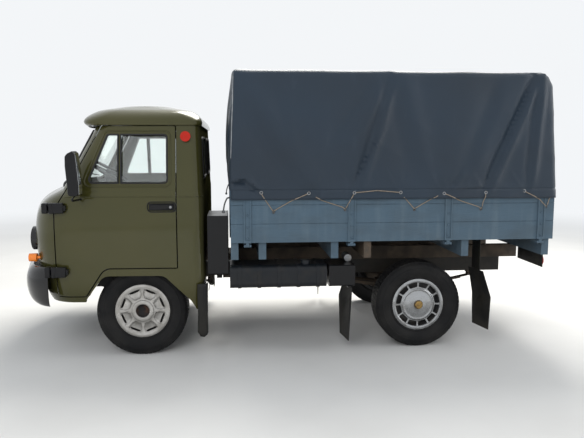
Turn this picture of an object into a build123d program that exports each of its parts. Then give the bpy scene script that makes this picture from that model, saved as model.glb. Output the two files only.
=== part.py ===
"""A light forward-control 4x4 cargo truck with a two-seat cab, a wooden dropside bed and a canvas tilt.

Millimetres. The truck faces -X, its left side is -Y and +Z is up.
The origin lies on the ground, midway along the truck's length and width.
Places along the truck are given from the front axle, and x_at() turns them into row coordinates.
Shapes that exist on both sides are made on the left and mirrored.
"""
import math
import os

from build123d import *

# Driving dimensions
LENGTH = 4460            # front of the bumper to the back of the tilt's rear skirt
WHEELBASE = 2300
FRONT_OVERHANG = 1060    # front axle to the front of the bumper
TRACK = 1445
TYRE_DIAMETER = 732
TYRE_WIDTH = 222
RIM_SEAT_DIAMETER = 406
RIM_WIDTH = 165

FRONT_AXLE_X = FRONT_OVERHANG - LENGTH / 2
WHEEL_R = TYRE_DIAMETER / 2
WHEEL_Y = TRACK / 2

# Clearances
SEAT_GAP = 0.3           # between pieces that rest on each other
DOOR_GAP = 9             # shut line round a door
HINGE_PLAY = 0.1         # radial play of hinge knuckles and spindles
BOARD_GAP = 5            # between the drop boards and their neighbours
MOVING_GAP = 5           # between other pieces that move past each other

# Frame
RAIL_Y = 345             # rail centre from the middle of the truck
RAIL_WIDTH = 60
RAIL_BOTTOM = 560
RAIL_HEIGHT = 125
RAIL_WALL = 8
RAIL_FRONT = -850
RAIL_BACK = 3200
RAIL_TOP = RAIL_BOTTOM + RAIL_HEIGHT

# Axles, steering and springs
AXLE_TUBE_R = 38
KINGPIN_Y = 600
KINGPIN_R = 14
SPINDLE_R = 20
STEER_ARM = -165         # kingpin to tie rod eye, which is ahead of the axle
SPRING_WIDTH = 55
SPRING_HALF = {"front": 540, "rear": 620}
SPRING_LEAVES = 6
SPRING_LEAF = 8
SPRING_CAMBER = 70
SPRING_HANGER_OUT = 372  # outer face of the hangers from the middle

# Cab
CAB_WALL = 28
DOOR_THICKNESS = 42
CAB_BACK = 507
CAB_BOTTOM = 395
BELT_Z = 1330
DRIP_Z = 1872
ROOF_TOP = 2030
DOOR_REAR = 303
DOOR_FRONT = -655
DOOR_SILL = 505
ARCH_TOP = 678
ARCH_STRIP = 56          # strip of cab side between the wheel opening and the door
WINDOW_SILL = 1418
WINDOW_HEAD = 1790
HINGE_HEIGHTS = (721, 1225)
HINGE_AXIS_Y = 930
HINGE_R = 13

# Bed
BED_FRONT = 722
BED_LENGTH = 2660
BED_HALF_WIDTH = 983     # outer face of the side boards
BOARD_THICKNESS = 28
BOARD_BOTTOM = 940
PLANKS = (150, 150, 115)
PLANK_GROOVE = 4
FLOOR_THICKNESS = 28
BEAM_HEIGHT = 140
BEAM_WIDTH = 60
BEAM_PLACES = (752, 974, 1558, 1828, 2645, 3336)
STRAP_PLACES = (855, 1690, 2487, 3273)
STRAP_WIDTH = 62
STRAP_THICKNESS = 11
BOARD_TOP = BOARD_BOTTOM + sum(PLANKS)
BED_BACK = BED_FRONT + BED_LENGTH
HINGE_PIN_Z = 915
HINGE_PIN_R = 5
HINGE_KNUCKLE_R = 11
TAILGATE_STRAPS = (-640, 0, 640)

# Tilt
CLOTH = 5
TILT_EAVES = 2245        # where the side cloth starts to round over
TILT_TOP_HALF = 940      # half width of the roof outside the cloth
TILT_CROWN = 2352
TILT_SKIRT_BOTTOM = 1297
TILT_SKIRT_HALF = 1005   # outside of the skirt
HOOP_PLACES = (765, 1380, 1990, 2600, 3205)
HOOP_R = 13

# Front lamps and grille
LAMP_Y = 590
LAMP_Z = 950
LAMP_RING_R = 98
GRILLE_Z0, GRILLE_Z1 = 850, 1040
GRILLE_BARS = 6
GRILLE_HALF = 330        # half length of the grille's straight part
# Bumper levels, in the cab's columns
BUMPER_ROWS = (
    (440, -988, 925, 945, 0, 15, 1800, 300, 60),
    (482, -1030, 935, 950, 0, 15, 1800, 300, 60),
    (565, -1058, 940, 950, 0, 15, 1800, 300, 60),
    (656, -FRONT_OVERHANG, 940, 950, 0, 15, 1800, 300, 60),
    (717, -1042, 937, 948, 0, 15, 1800, 300, 60),
    (757, -1004, 925, 940, 0, 15, 1800, 300, 60),
)
BUMPER_BACK = -705
# Inside the cab
FOOT_FLOOR = RAIL_TOP + SEAT_GAP + 14
SEAT_FLOOR = 852
COVER_TOP = 1093         # engine cover, below its raised lid
LID_HEIGHT = 12
STEERING_X, STEERING_Y, STEERING_Z = -300, 420, 1478
STEERING_R = 200
WHEEL_LEAN = 33          # steering column from the vertical
# Frame details
CROSS_MEMBERS = (-815, 985, 1450, 1900, 2300, 2750, 3160)
OUTRIGGERS = (620, 870, 1350, 1640)
DIFF_Y = 90
# Propeller shafts: faces they bolt to, as X, Y, Z, and radius
PROPSHAFTS = (((530, 0, 690), (640, 40, 640), 28),
              ((640, 150, 520), (150, DIFF_Y, 366), 28),
              ((900, 60, 530), (WHEELBASE - 155, DIFF_Y, 366), 32))
FLANGE = 12              # thickness of the shafts' end flanges
SPRING_TOP = WHEEL_R + AXLE_TUBE_R + SEAT_GAP + SPRING_LEAVES * SPRING_LEAF
SPRING_EYE_R = 14
SPRING_EYE_Z = SPRING_TOP + SPRING_CAMBER + 4
# Wheels: (radius, distance outboard of the wheel's middle)
TYRE_SECTION = ((203.3, -82), (222, -84), (262, -104), (292, -111), (322, -106), (350, -94), (366, -84),
                (366, 84), (350, 94), (322, 106), (292, 111), (262, 104), (222, 84), (203.3, 82), (203.3, 62),
                (216, 62), (258, 90), (292, 97), (322, 92), (344, 74), (344, -74), (322, -92), (292, -97),
                (258, -90), (216, -62), (203.3, -62))
RIM_SECTION = ((203, -82), (203, -60), (186, -48), (186, 30), (203, 60), (203, 82.3), (221, 84.3), (221, 90),
               (196, 90), (196, 62), (179, 34), (179, -52), (196, -64), (196, -90), (221, -90), (221, -84.3),
               (203, -82.3))
FRONT_FACE = ((219, 90.3), (220, 96), (208, 102), (192, 100), (180, 97), (104, 88), (92, 91), (84, 98),
              (58, 99), (53, 92), (53, 82), (88, 76), (104, 72), (182, 78), (198, 90.3))
REAR_FACE = ((219, 90.3), (220, 96), (210, 102), (201, 100), (196, 93), (158, 89), (148, 92), (141, 98),
             (134, 101), (127, 98), (120, 95), (106, 99), (84, 107), (60, 112), (40, 115), (40, 106),
             (60, 103), (84, 98), (106, 90), (120, 86), (148, 83), (158, 81), (190, 84), (198, 90.3))
HUB_SECTION = ((26, -60), (62, -60), (62, -14), (128, -14), (128, -68), (137, -68), (137, -6), (62, -6),
               (53.5, 4), (53.5, 84), (48, 86), (44, 78), (0, 78), (0, -40), (26, -40))
REAR_HUB_SECTION = HUB_SECTION[:9] + ((53.5, 106), (38, 114), (38, 122), (33, 127), (0, 128), (0, -40), (26, -40))
WHEEL_DISC = ((180, 20), (180, 28), (52.3, 28), (52.3, 20))
# Openings of the wheel covers, seen from outboard: (distance from the hub, half width) down one side
FRONT_POCKETS = 8
POCKET_OUTLINE = ((110, 14), (134, 36), (176, 37))
POCKET_CORNERS = [12, 18, 10]
POCKET_FLOOR = 85.5      # outboard of the wheel's middle
SLOT_OUTLINE = ((154, 24), (172, 28))
SLOT_CORNERS = [8, 8]
REAR_WINDOWS = 12
WINDOW_SHAPE = ((160, 30), (194, 38))
WINDOW_CORNERS = [9, 9]
# Tilt outlines: seen from the side (X from the front axle, Z) and along the truck (Y, Z)
TILT_SIDE = ((706, 1300), (748, 2380), (3215, 2380), (3322, 2212), (3400, 1300))
TILT_SIDE_R = [0, 40, 60, 60, 0]
TILT_ACROSS = ((-1005, 1300), (-956, 2288), (0, TILT_CROWN), (956, 2288), (1005, 1300))
TILT_ACROSS_R = [0, 45, 3000, 45, 0]
SKIRT_JOIN = 6           # height over the boards where the loose skirt begins
HOOP_Y = 920
HOOP_SPRING = 2200       # where the legs meet the bows
HOOP_EAVES = 2270
HOOP_CROWN = 2334
# Rear flaps: top and bottom edge as X, Y, Z, turn about Z and width
REAR_FLAPS = (((1690, -815, 545.7, 10, 220), (1668, -815, 100, 8, 230)),
              ((2800, -815, 662.7, 10, 220), (2856, -815, 160, 12, 230)))


def x_at(from_front_axle):
    """Row X of a place given from the front axle."""
    return FRONT_AXLE_X + from_front_axle


def block(x0, x1, y0, y1, z0, z1):
    """A box between two corners, with X given from the front axle."""
    centre = ((x_at(x0) + x_at(x1)) / 2, (y0 + y1) / 2, (z0 + z1) / 2)
    return Pos(*centre) * Box(abs(x1 - x0), abs(y1 - y0), abs(z1 - z0))


def rod(axis, x, y, z, radius, length, inner=0):
    """A round bar or tube centred on a point, along X, Y or Z."""
    turn = {"x": Rot(0, 90, 0), "y": Rot(90, 0, 0), "z": Rot(0, 0, 0)}[axis]
    solid = Cylinder(radius, length)
    if inner:
        solid -= Cylinder(inner, length + 2)
    return Pos(x_at(x), y, z) * turn * solid


def bar_between(p, q, radius):
    """A round bar from p to q, with X given from the front axle."""
    a = Vector(x_at(p[0]), p[1], p[2])
    b = Vector(x_at(q[0]), q[1], q[2])
    plane = Plane(origin=a, z_dir=b - a)
    return extrude(plane * Circle(radius), (b - a).length)


def both(shape):
    """The left shape with its mirror image on the right, as one compound."""
    return Compound(children=[*Part(shape.wrapped).solids(), *mirrored(shape).solids()])


def mirrored(shape):
    return mirror(shape, Plane.XZ)


def side_face(points, radii):
    """A face in the XZ plane from corner points with rounded corners, X from the front axle."""
    corners = [(x_at(x), z) for x, z in points]
    wire = FilletPolyline(*corners, radius=radii, close=True)
    return Plane.XZ * make_face(wire)


def side_prism(points, radii, y0, y1):
    """The side outline carried across from y0 to y1."""
    return Pos(0, y1, 0) * extrude(side_face(points, radii), y1 - y0)


def front_prism(points, radii, x0, x1):
    """An outline in Y and Z carried along the truck from x0 to x1."""
    wire = FilletPolyline(*points, radius=radii, close=True)
    face = Plane(origin=(x_at(x0), 0, 0), x_dir=(0, 1, 0), z_dir=(1, 0, 0)) * make_face(wire)
    return extrude(face, x1 - x0)


# Cab body: each row is one level of the outline seen from above.
# nose: front of the middle, half_front and half_back: half widths, back: rear wall,
# bow: half angle of the bowed front, r_bow, r_front, r_back: corner radii
CAB_COLUMNS = ("z", "nose", "half_front", "half_back", "back", "bow", "r_bow", "r_front", "r_back")
CAB_LOWER = (
    (CAB_BOTTOM, -815, 842, 925, CAB_BACK, 15, 1700, 250, 90),
    (520, -898, 872, 935, CAB_BACK, 16, 1750, 270, 90),
    (760, -957, 893, 943, CAB_BACK, 17, 1850, 290, 90),
    (1020, -975, 900, 946, CAB_BACK, 17, 1900, 300, 90),
    (1170, -958, 898, 945, CAB_BACK, 17, 1850, 300, 90),
    (1260, -912, 894, 943, CAB_BACK, 17, 1800, 290, 90),
    (1325, -826, 886, 938, CAB_BACK - 2, 15, 1600, 260, 88),
    (1388, -716, 852, 905, CAB_BACK - 24, 12, 1400, 190, 80),
)
CAB_UPPER = (
    (1290, -768, 886, 938, CAB_BACK - 3, 11, 1400, 150, 86),
    (DRIP_Z + 8, -440, 785, 853, CAB_BACK - 22, 11, 1400, 150, 80),
)
CAB_ROOF = (
    (DRIP_Z - 6, -522, 806, 868, CAB_BACK - 8, 11, 1400, 150, 90),
    (DRIP_Z + 22, -548, 812, 874, CAB_BACK - 3, 11, 1400, 160, 95),
    (DRIP_Z + 68, -520, 786, 848, CAB_BACK - 28, 11, 1400, 190, 110),
    (DRIP_Z + 116, -432, 712, 772, CAB_BACK - 100, 11, 1400, 210, 150),
    (DRIP_Z + 146, -300, 585, 640, CAB_BACK - 230, 11, 1400, 220, 190),
    (ROOF_TOP, -235, 440, 485, CAB_BACK - 310, 11, 1400, 170, 150),
)


def cab_level(row, inset=0.0):
    """One closed level of the cab's outline, moved in by inset."""
    v = dict(zip(CAB_COLUMNS, row))
    slope = math.tan(math.radians(v["bow"]))
    apex_gap = (v["r_bow"] - inset) * (1 / math.cos(math.radians(v["bow"])) - 1)
    vertex = v["nose"] + inset - apex_gap
    half_front = v["half_front"] - inset
    half_back = v["half_back"] - inset
    corner = vertex + half_front * slope
    back = v["back"] - inset
    points = [(x_at(back), half_back), (x_at(corner), half_front), (x_at(vertex), 0),
              (x_at(corner), -half_front), (x_at(back), -half_back)]
    r_back = max(v["r_back"] - inset, 12)
    r_front = max(v["r_front"] - inset, 12)
    wire = FilletPolyline(*points, radius=[r_back, r_front, v["r_bow"] - inset, r_front, r_back], close=True)
    return Pos(0, 0, v["z"]) * make_face(wire)


def cab_lower(inset=0.0):
    """The lower body, whose shoulders come down by inset as well."""
    faces = []
    for row in CAB_LOWER:
        sink = inset * min(max((row[0] - 1020) / (BELT_Z - 1020), 0.0), 1.0)
        faces.append(Pos(0, 0, -sink) * cab_level(row, inset))
    return loft(faces)


def cab_upper(inset=0.0):
    return loft([cab_level(row, inset) for row in CAB_UPPER], ruled=True)


def cab_form(inset=0.0):
    """The cab's solid form up to the drip rail, moved in by inset."""
    return cab_lower(inset) + cab_upper(inset)


def roof_form(inset=0.0, drop=0.0):
    """The roof's solid dome."""
    return loft([Pos(0, 0, -drop) * cab_level(row, inset) for row in CAB_ROOF])


WHEEL_OPENING = ([(-452, 380), (-432, 480), (-285, ARCH_TOP), (190, ARCH_TOP), (400, 470), (455, 380)],
                 [0, 40, 90, 90, 60, 0])
DOOR_OUTLINE = ([(DOOR_FRONT, DOOR_SILL), (DOOR_FRONT, 1200), (-290, DRIP_Z - 2), (DOOR_REAR, DRIP_Z - 2),
                 (DOOR_REAR, ARCH_TOP + ARCH_STRIP), (-272, ARCH_TOP + ARCH_STRIP), (-425, DOOR_SILL)],
                [18, 60, 25, 22, 12, 90, 30])
WINDOW_OUTLINE = ([(-388, WINDOW_SILL), (-232, WINDOW_HEAD), (226, WINDOW_HEAD), (226, WINDOW_SILL)],
                  [28, 24, 24, 24])
WINDSCREEN_PANE = ([(26, 1398), (735, 1398), (690, 1822), (26, 1822)], [30, 45, 60, 30])
REAR_PANE = ([(170, 1450), (640, 1450), (620, 1770), (170, 1770)], [40, 40, 40, 40])
QUARTER_BAR_X = -142     # divider between the quarter light and the door glass


def shrunk(outline, gap):
    """The same outline moved in by gap."""
    points, radii = outline
    wire = FilletPolyline(*points, radius=radii, close=True)
    return offset(make_face(wire), -gap)


def side_cutter(outline, gap=0.0, y0=-1200, y1=-500):
    """A prism through the left side from an outline in X and Z, moved in by gap."""
    points = [(x_at(x), z) for x, z in outline[0]]
    face = Plane.XZ * shrunk((points, outline[1]), gap)
    return Pos(0, y1, 0) * extrude(face, y1 - y0)


def end_cutter(outline, gap, x0, x1):
    """A prism along the truck from an outline in Y and Z, moved in by gap."""
    face = Plane(origin=(x_at(x0), 0, 0), x_dir=(0, 1, 0), z_dir=(1, 0, 0)) * shrunk(outline, gap)
    return extrude(face, x1 - x0)


def group(*shapes):
    """Separate solids kept together as one node."""
    solids = [solid for shape in shapes for solid in shape.solids()]
    return Compound(children=solids)


def tube_along(points, radii, radius, inner=0):
    """A round bar swept along a bent line, with X given from the front axle."""
    path = FilletPolyline(*[(x_at(x), y, z) for x, y, z in points], radius=radii)
    start = Plane(origin=path @ 0, z_dir=path % 0)
    solid = sweep(start * Circle(radius), path=path)
    if inner:
        solid -= sweep(start * Circle(inner), path=path)
    return solid


def turned(points, x, y, z, side=-1):
    """A body of revolution about the wheel axis. points: (radius, distance outboard of y)."""
    face = make_face(Polyline(*[(r, out) for r, out in points], close=True))
    solid = revolve(Plane.XY * face, Axis.Y)
    if side < 0:
        solid = mirror(solid, Plane.XZ)
    return Pos(x_at(x), y, z) * solid


def grille_cutter(gap):
    """The grille's opening, a long slot with round ends, made smaller by gap."""
    middle = (GRILLE_Z0 + GRILLE_Z1) / 2
    r = (GRILLE_Z1 - GRILLE_Z0) / 2 - gap
    shape = block(-1100, -800, -GRILLE_HALF, GRILLE_HALF, middle - r, middle + r)
    for y in (-GRILLE_HALF, GRILLE_HALF):
        shape += rod("x", -950, y, middle, r, 300)
    return shape


def cab_parts():
    outer = cab_form()
    inner = cab_form(CAB_WALL)
    free = cab_form(CAB_WALL + SEAT_GAP)
    rest = cab_form(-SEAT_GAP)
    shell = outer - inner - block(-1100, 700, -1100, 1100, DRIP_Z - 6 - SEAT_GAP, 2300)
    for opening in (side_cutter(WHEEL_OPENING), side_cutter(DOOR_OUTLINE)):
        shell -= opening
        shell -= mirrored(opening)
    shell -= block(-1200, -430, -1100, 1100, 300, 462)
    panes = end_cutter(WINDSCREEN_PANE, 0, -950, -250)
    shell -= panes + mirrored(panes)
    rear_panes = end_cutter(REAR_PANE, 0, 350, 700)
    shell -= rear_panes + mirrored(rear_panes)
    shell -= grille_cutter(0)
    for side in (-1, 1):
        shell -= block(-1100, -800, side * (RAIL_Y - 45), side * (RAIL_Y + 45), RAIL_BOTTOM - 10, RAIL_TOP + 8)
    lamp_hole = rod("x", -900, -LAMP_Y, LAMP_Z, LAMP_RING_R + SEAT_GAP, 300)
    shell -= lamp_hole + mirrored(lamp_hole)
    turn_hole = rod("x", -835, -750, 813, 12 + SEAT_GAP, 100)
    shell -= turn_hole + mirrored(turn_hole)
    shell -= block(440, 600, -580, 580, 300, SEAT_FLOOR - 20)
    parting = (DOOR_FRONT + DOOR_REAR) / 2
    nodes = {}
    nodes["cab_front"] = shell & block(-1300, parting, -1100, 1100, 300, 2300)
    nodes["cab_back"] = shell & block(parting + SEAT_GAP, 700, -1100, 1100, 300, 2300)
    nodes["cab_roof"] = roof_form() - roof_form(CAB_WALL, 22)

    blank = side_cutter(DOOR_OUTLINE, DOOR_GAP)
    door = ((outer - cab_form(DOOR_THICKNESS)) & blank) - side_cutter(WINDOW_OUTLINE)
    door -= block(85, 285, -1000, -920, 1199, 1257)
    bar_x = (QUARTER_BAR_X - 8, QUARTER_BAR_X + 8)
    bar = block(*bar_x, -1100, -500, WINDOW_SILL - 20, WINDOW_HEAD + 20)
    door += (cab_upper(6) - cab_upper(26)) & bar & side_cutter(WINDOW_OUTLINE, -6)
    nodes["door_left"] = door
    glass_layer = cab_upper(14) - cab_upper(19)
    hole = block(bar_x[0] - SEAT_GAP, bar_x[1] + SEAT_GAP, -1100, -500, 1300, 1900)
    nodes["door_glass_left"] = group((glass_layer & side_cutter(WINDOW_OUTLINE, SEAT_GAP)) - hole)
    screen = glass_layer & end_cutter(WINDSCREEN_PANE, SEAT_GAP, -950, -250)
    rear_glass = glass_layer & end_cutter(REAR_PANE, SEAT_GAP, 350, 700)
    nodes["cab_glass"] = group(screen, mirrored(screen), rear_glass, mirrored(rear_glass))

    engine_well = block(-700.3, 474.3, -300.3, 300.3, 500, 900)
    beside_door = block(-665, 315, -1100, -824, 600, 900)
    beside_door += mirrored(beside_door)
    foot = block(-1000, -447, -1000, 1000, FOOT_FLOOR - 14, FOOT_FLOOR)
    riser = block(-460, -447.3, -1000, 1000, FOOT_FLOOR + SEAT_GAP, SEAT_FLOOR - 14.3)
    deck = block(-460, 500, -1000, 1000, SEAT_FLOOR - 14, SEAT_FLOOR)
    solids = [(free & piece) - engine_well - beside_door for piece in (foot, riser, deck)]
    wheel_wall = block(-446.7, 470, -330, -318, FOOT_FLOOR - 14, SEAT_FLOOR - 14.3)
    nodes["cab_floor"] = group(*solids, wheel_wall, mirrored(wheel_wall))

    lid_front = -85
    cover = side_prism([(-700, 600), (-700, 1005), (-605, COVER_TOP), (474, COVER_TOP), (474, 600)],
                       [0, 40, 40, 0, 0], -300, 300)
    cover += block(lid_front, 474, -285, 285, COVER_TOP - 1, COVER_TOP + LID_HEIGHT)
    inside = COVER_TOP - 12
    hollow = side_prism([(-688, 500), (-688, 999), (-599, inside), (462, inside), (462, 500)], [0, 34, 34, 0, 0],
                        -288, 288)
    nodes["engine_cover"] = cover - hollow - block(455, 480, -200, 200, 590, 800)
    dash = side_prism([(-1000, 1150), (-1000, 1300), (-640, 1300), (-600, 1270), (-620, 1150)],
                      [0, 0, 0, 0, 0], -950, 950)
    dash -= block(-672, -590, -1000, -800, 1100, 1350) + block(-672, -590, 800, 1000, 1100, 1350)
    nodes["dashboard"] = cab_lower(CAB_WALL + SEAT_GAP) & dash

    grille = (cab_lower(1) & grille_cutter(SEAT_GAP)) - cab_lower(12)
    pitch = (GRILLE_Z1 - GRILLE_Z0 - 30) / GRILLE_BARS
    for i in range(GRILLE_BARS):
        z = GRILLE_Z0 + 15 + (i + 0.5) * pitch
        grille -= block(-1100, -800, -GRILLE_HALF - 10, GRILLE_HALF + 10, z - pitch / 2 + 6, z + pitch / 2 - 6)
    nodes["grille"] = grille

    ring = rod("x", -892, -LAMP_Y, LAMP_Z, LAMP_RING_R, 90, LAMP_RING_R - 12)
    pot = rod("x", -868, -LAMP_Y, LAMP_Z, LAMP_RING_R - 12.3, 40)
    lens = rod("x", -905, -LAMP_Y, LAMP_Z, LAMP_RING_R - 12.3, 20)
    dome = Pos(x_at(-790), -LAMP_Y, LAMP_Z) * Sphere(150)
    lens = (rod("x", -915, -LAMP_Y, LAMP_Z, LAMP_RING_R - 12.3, 53) & dome)
    nodes["headlamp_rings"] = both(group(ring, pot))
    nodes["headlamp_lenses"] = both(lens)

    turn = largest(rod("x", -862, -750, 813, 33, 60) - rest) + rod("x", -835, -750, 813, 12, 60)
    side_lamp = rod("y", 376, -900, 1779, 40, 100) - outer
    side_lamp -= block(300, 450, -1000, -893, 1700, 1850)
    nodes["turn_lamps"] = both(turn)
    nodes["marker_lamps"] = both(largest(side_lamp - rest))

    covers, brackets = [], []
    swing_room = cab_form(-MOVING_GAP)
    for z in HINGE_HEIGHTS:
        barrel = rod("z", DOOR_FRONT, -HINGE_AXIS_Y, z, HINGE_R, 40, 6.3)
        arm = block(DOOR_FRONT + 8, DOOR_FRONT + 105, -HINGE_AXIS_Y - 9, -800, z - 20, z + 20)
        arm -= rod("z", DOOR_FRONT, -HINGE_AXIS_Y, z, HINGE_R - 1, 60)
        arm -= swing_room & block(DOOR_FRONT, DOOR_FRONT + 42, -1100, -700, z - 30, z + 30)
        covers.append(largest((barrel + arm) - rest))
        pin = rod("z", DOOR_FRONT, -HINGE_AXIS_Y, z, 6, 66)
        for dz in (-27, 27):
            lug = rod("z", DOOR_FRONT, -HINGE_AXIS_Y, z + dz, HINGE_R, 12)
            lug += block(DOOR_FRONT - 45, DOOR_FRONT, -HINGE_AXIS_Y - 9, -800, z + dz - 6, z + dz + 6)
            pin += lug
        brackets.append(largest(pin - rest))
    lever = block(97, 273, -952, -938, 1210, 1246)
    lever = fillet(lever.edges().filter_by(Axis.Y), 10)
    lever += block(112, 150, -940, -920 - SEAT_GAP, 1216, 1240)
    nodes["door_fittings_left"] = group(*covers, lever)
    nodes["door_hinge_brackets"] = both(group(*brackets))
    return nodes, outer, rest


def largest(shape):
    return max(shape.solids(), key=lambda solid: solid.volume)


def mirror_parts(rest):
    """The outside mirror on its arm."""
    head = side_prism([(-512, 1330), (-520, 1620), (-420, 1650), (-412, 1330)], [25, 30, 30, 25], -1120, -980)
    head = fillet(head.faces().sort_by(Axis.X)[0].edges(), 10)
    arm = tube_along([(-466, -1045, 1329.7), (-466, -1045, 1290), (-430, -870, 1290)], 14, 8)
    arm = largest(arm - rest)
    return group(head, arm)


def cab_inside():
    nodes = {}
    y = -565
    base = block(-90, 400, y - 225, y + 225, 960, 1110)
    back = side_prism([(300, 1110.3), (405, 1600), (440, 1600), (430, 1110.3)], [0, 12, 12, 0], y - 220, y + 220)
    rest = block(395, 438, y - 120, y + 120, 1600.3, 1740)
    box = block(-70, 390, y - 210, y + 210, SEAT_FLOOR + SEAT_GAP, 959.7)
    nodes["seats"] = both(group(base, back, rest))
    nodes["seat_boxes"] = both(box)
    pedals = [block(-800, -790, y - 30, y + 30, 800, 870) for y in (-560, -450, -350)]
    stems = [bar_between((-794, y, 866), (-830, y, 1120), 7) + block(-842, -818, y - 9, y + 9, 1105, 1149.7)
             for y in (-560, -450, -350)]
    lever = bar_between((-250, 90, COVER_TOP + 3), (-300, 60, 1400), 8)
    knob = Pos(x_at(-300), 60, 1412) * Sphere(22)
    pair = [bar_between((-120, y, COVER_TOP + 2), (-150, y, 1300), 7) for y in (150, 200)]
    lever += rod("z", -250, 90, COVER_TOP + SEAT_GAP + 10, 26, 20)
    pair = [arm + rod("z", -120, y, COVER_TOP + SEAT_GAP + 7, 16, 14) for arm, y in zip(pair, (150, 200))]
    nodes["controls"] = group(*[p + s for p, s in zip(pedals, stems)], lever + knob, *pair)
    lean = math.tan(math.radians(WHEEL_LEAN))
    top = (STEERING_X - 20.5 * math.sin(math.radians(WHEEL_LEAN)), -STEERING_Y,
           STEERING_Z - 20.5 * math.cos(math.radians(WHEEL_LEAN)))
    foot = (STEERING_X - lean * (STEERING_Z - FOOT_FLOOR - 13), -STEERING_Y, FOOT_FLOOR + 13)
    column = bar_between(foot, top, 22)
    nodes["steering_column"] = column + rod("z", foot[0], foot[1], FOOT_FLOOR + SEAT_GAP + 14, 42, 28)
    ring = Torus(STEERING_R, 13)
    hub = Cylinder(38, 40)
    wheel = ring + hub
    for angle in (90, 210, 330):
        wheel += Rot(0, 0, angle) * Pos(STEERING_R / 2, 0, 0) * Box(STEERING_R, 24, 12)
    place = Pos(x_at(STEERING_X), -STEERING_Y, STEERING_Z) * Rot(0, WHEEL_LEAN, 0)
    nodes["steering_wheel"] = place * wheel
    return nodes


def frame_parts():
    nodes = {}
    y_out, y_in = RAIL_Y + RAIL_WIDTH / 2, RAIL_Y - RAIL_WIDTH / 2
    rail = block(RAIL_FRONT, RAIL_BACK, -y_out, -y_in, RAIL_BOTTOM, RAIL_TOP)
    rail -= block(RAIL_FRONT - 1, RAIL_BACK + 1, -y_out + RAIL_WALL, -y_in + 1, RAIL_BOTTOM + RAIL_WALL,
                  RAIL_TOP - RAIL_WALL)
    nodes["frame_rails"] = both(rail)
    members = []
    reach = y_out - RAIL_WALL - SEAT_GAP
    for x in CROSS_MEMBERS:
        member = block(x - 30, x + 30, -reach, reach, RAIL_BOTTOM + RAIL_WALL + 4, RAIL_TOP - RAIL_WALL - 4)
        member -= block(x - 25, x + 25, -reach - 1, reach + 1, RAIL_BOTTOM, RAIL_TOP - RAIL_WALL - 9)
        members.append(member)
    stubs = []
    for x in OUTRIGGERS:
        stubs.append(block(x - 22, x + 22, -589.7, -y_out - SEAT_GAP, RAIL_BOTTOM + 20, RAIL_TOP - 4))
    nodes["frame_crossmembers"] = group(*members, *stubs, *[mirrored(s) for s in stubs])

    faces = [cab_level(row) for row in BUMPER_ROWS]
    inner = [Pos(0, 0, dz) * cab_level(row, 7) for row, dz in zip(BUMPER_ROWS, (-3, 0, 0, 0, 0, 3))]
    bumper = (loft(faces) - loft(inner)) - block(BUMPER_BACK, 800, -1200, 1200, 300, 900)
    nodes["bumper"] = bumper
    stay = block(-1014, RAIL_FRONT - SEAT_GAP, -370, -320, 580, 660)
    plate = block(RAIL_FRONT - 12, RAIL_FRONT - SEAT_GAP, -372, -318, 566, 680)
    nodes["bumper_stays"] = both(stay + plate)

    block_engine = block(-560, 20, -200, 200, 620, 1040)
    gearbox = block(20 + SEAT_GAP, 420, -150, 150, 600, 840) + rod("x", 470, 0, 690, 70, 120)
    transfer = block(640, 900, -60, 240, 470, 700)
    nodes["powertrain"] = group(block_engine, gearbox, transfer)
    shafts = []
    for start, end, radius in PROPSHAFTS:
        direction = 1 if end[0] > start[0] else -1
        p = (start[0] + direction * FLANGE, *start[1:])
        q = (end[0] - direction * FLANGE, *end[1:])
        shaft = bar_between(p, q, radius)
        reach = SEAT_GAP + FLANGE / 2
        for place, x in ((start, start[0] + direction * reach), (end, end[0] - direction * reach)):
            shaft += rod("x", x, place[1], place[2], radius + 14, FLANGE)
        shafts.append(shaft)
    nodes["propshafts"] = group(*shafts)
    pipe = tube_along([(-100, 232, 690), (-100, 232, 540), (20, 232, 515), (600, 232, 500), (740, 480, 480),
                       (1029.7, 480, 480)], [60, 60, 60, 60], 22)
    box = rod("x", 1280, 480, 480, 78, 500) + block(1335, 1365, 465, 495, 550, RAIL_BOTTOM + 20 - SEAT_GAP)
    tail = tube_along([(1530.3, 480, 480), (1700, 480, 480), (1830, 480, 760), (2880, 480, 760), (3040, 560, 600)],
                      [60, 60, 60], 22)
    nodes["exhaust"] = group(pipe, box, tail)

    tank = front_prism([(-925, 557), (-925, 742), (-590, 742), (-590, 557)], [45, 45, 45, 45], 712, 1500)
    for x in (790, 950, 1110, 1270, 1430):
        tank += front_prism([(-929, 552), (-929, 747), (-586, 747), (-586, 552)], [48, 48, 48, 48], x - 14, x + 14)
    tank += rod("z", 1330, -850, 757, 38, 36)
    case = front_prism([(-920, 560), (-920, 735), (-590, 735), (-590, 560)], [14, 14, 14, 14], 1520, 1735)
    nodes["fuel_tank"] = tank
    nodes["tool_case"] = case
    carrier = block(536, 700, -900, -480, RAIL_TOP - 4 + SEAT_GAP, 1150)
    nodes["battery_box"] = carrier
    return nodes


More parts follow.
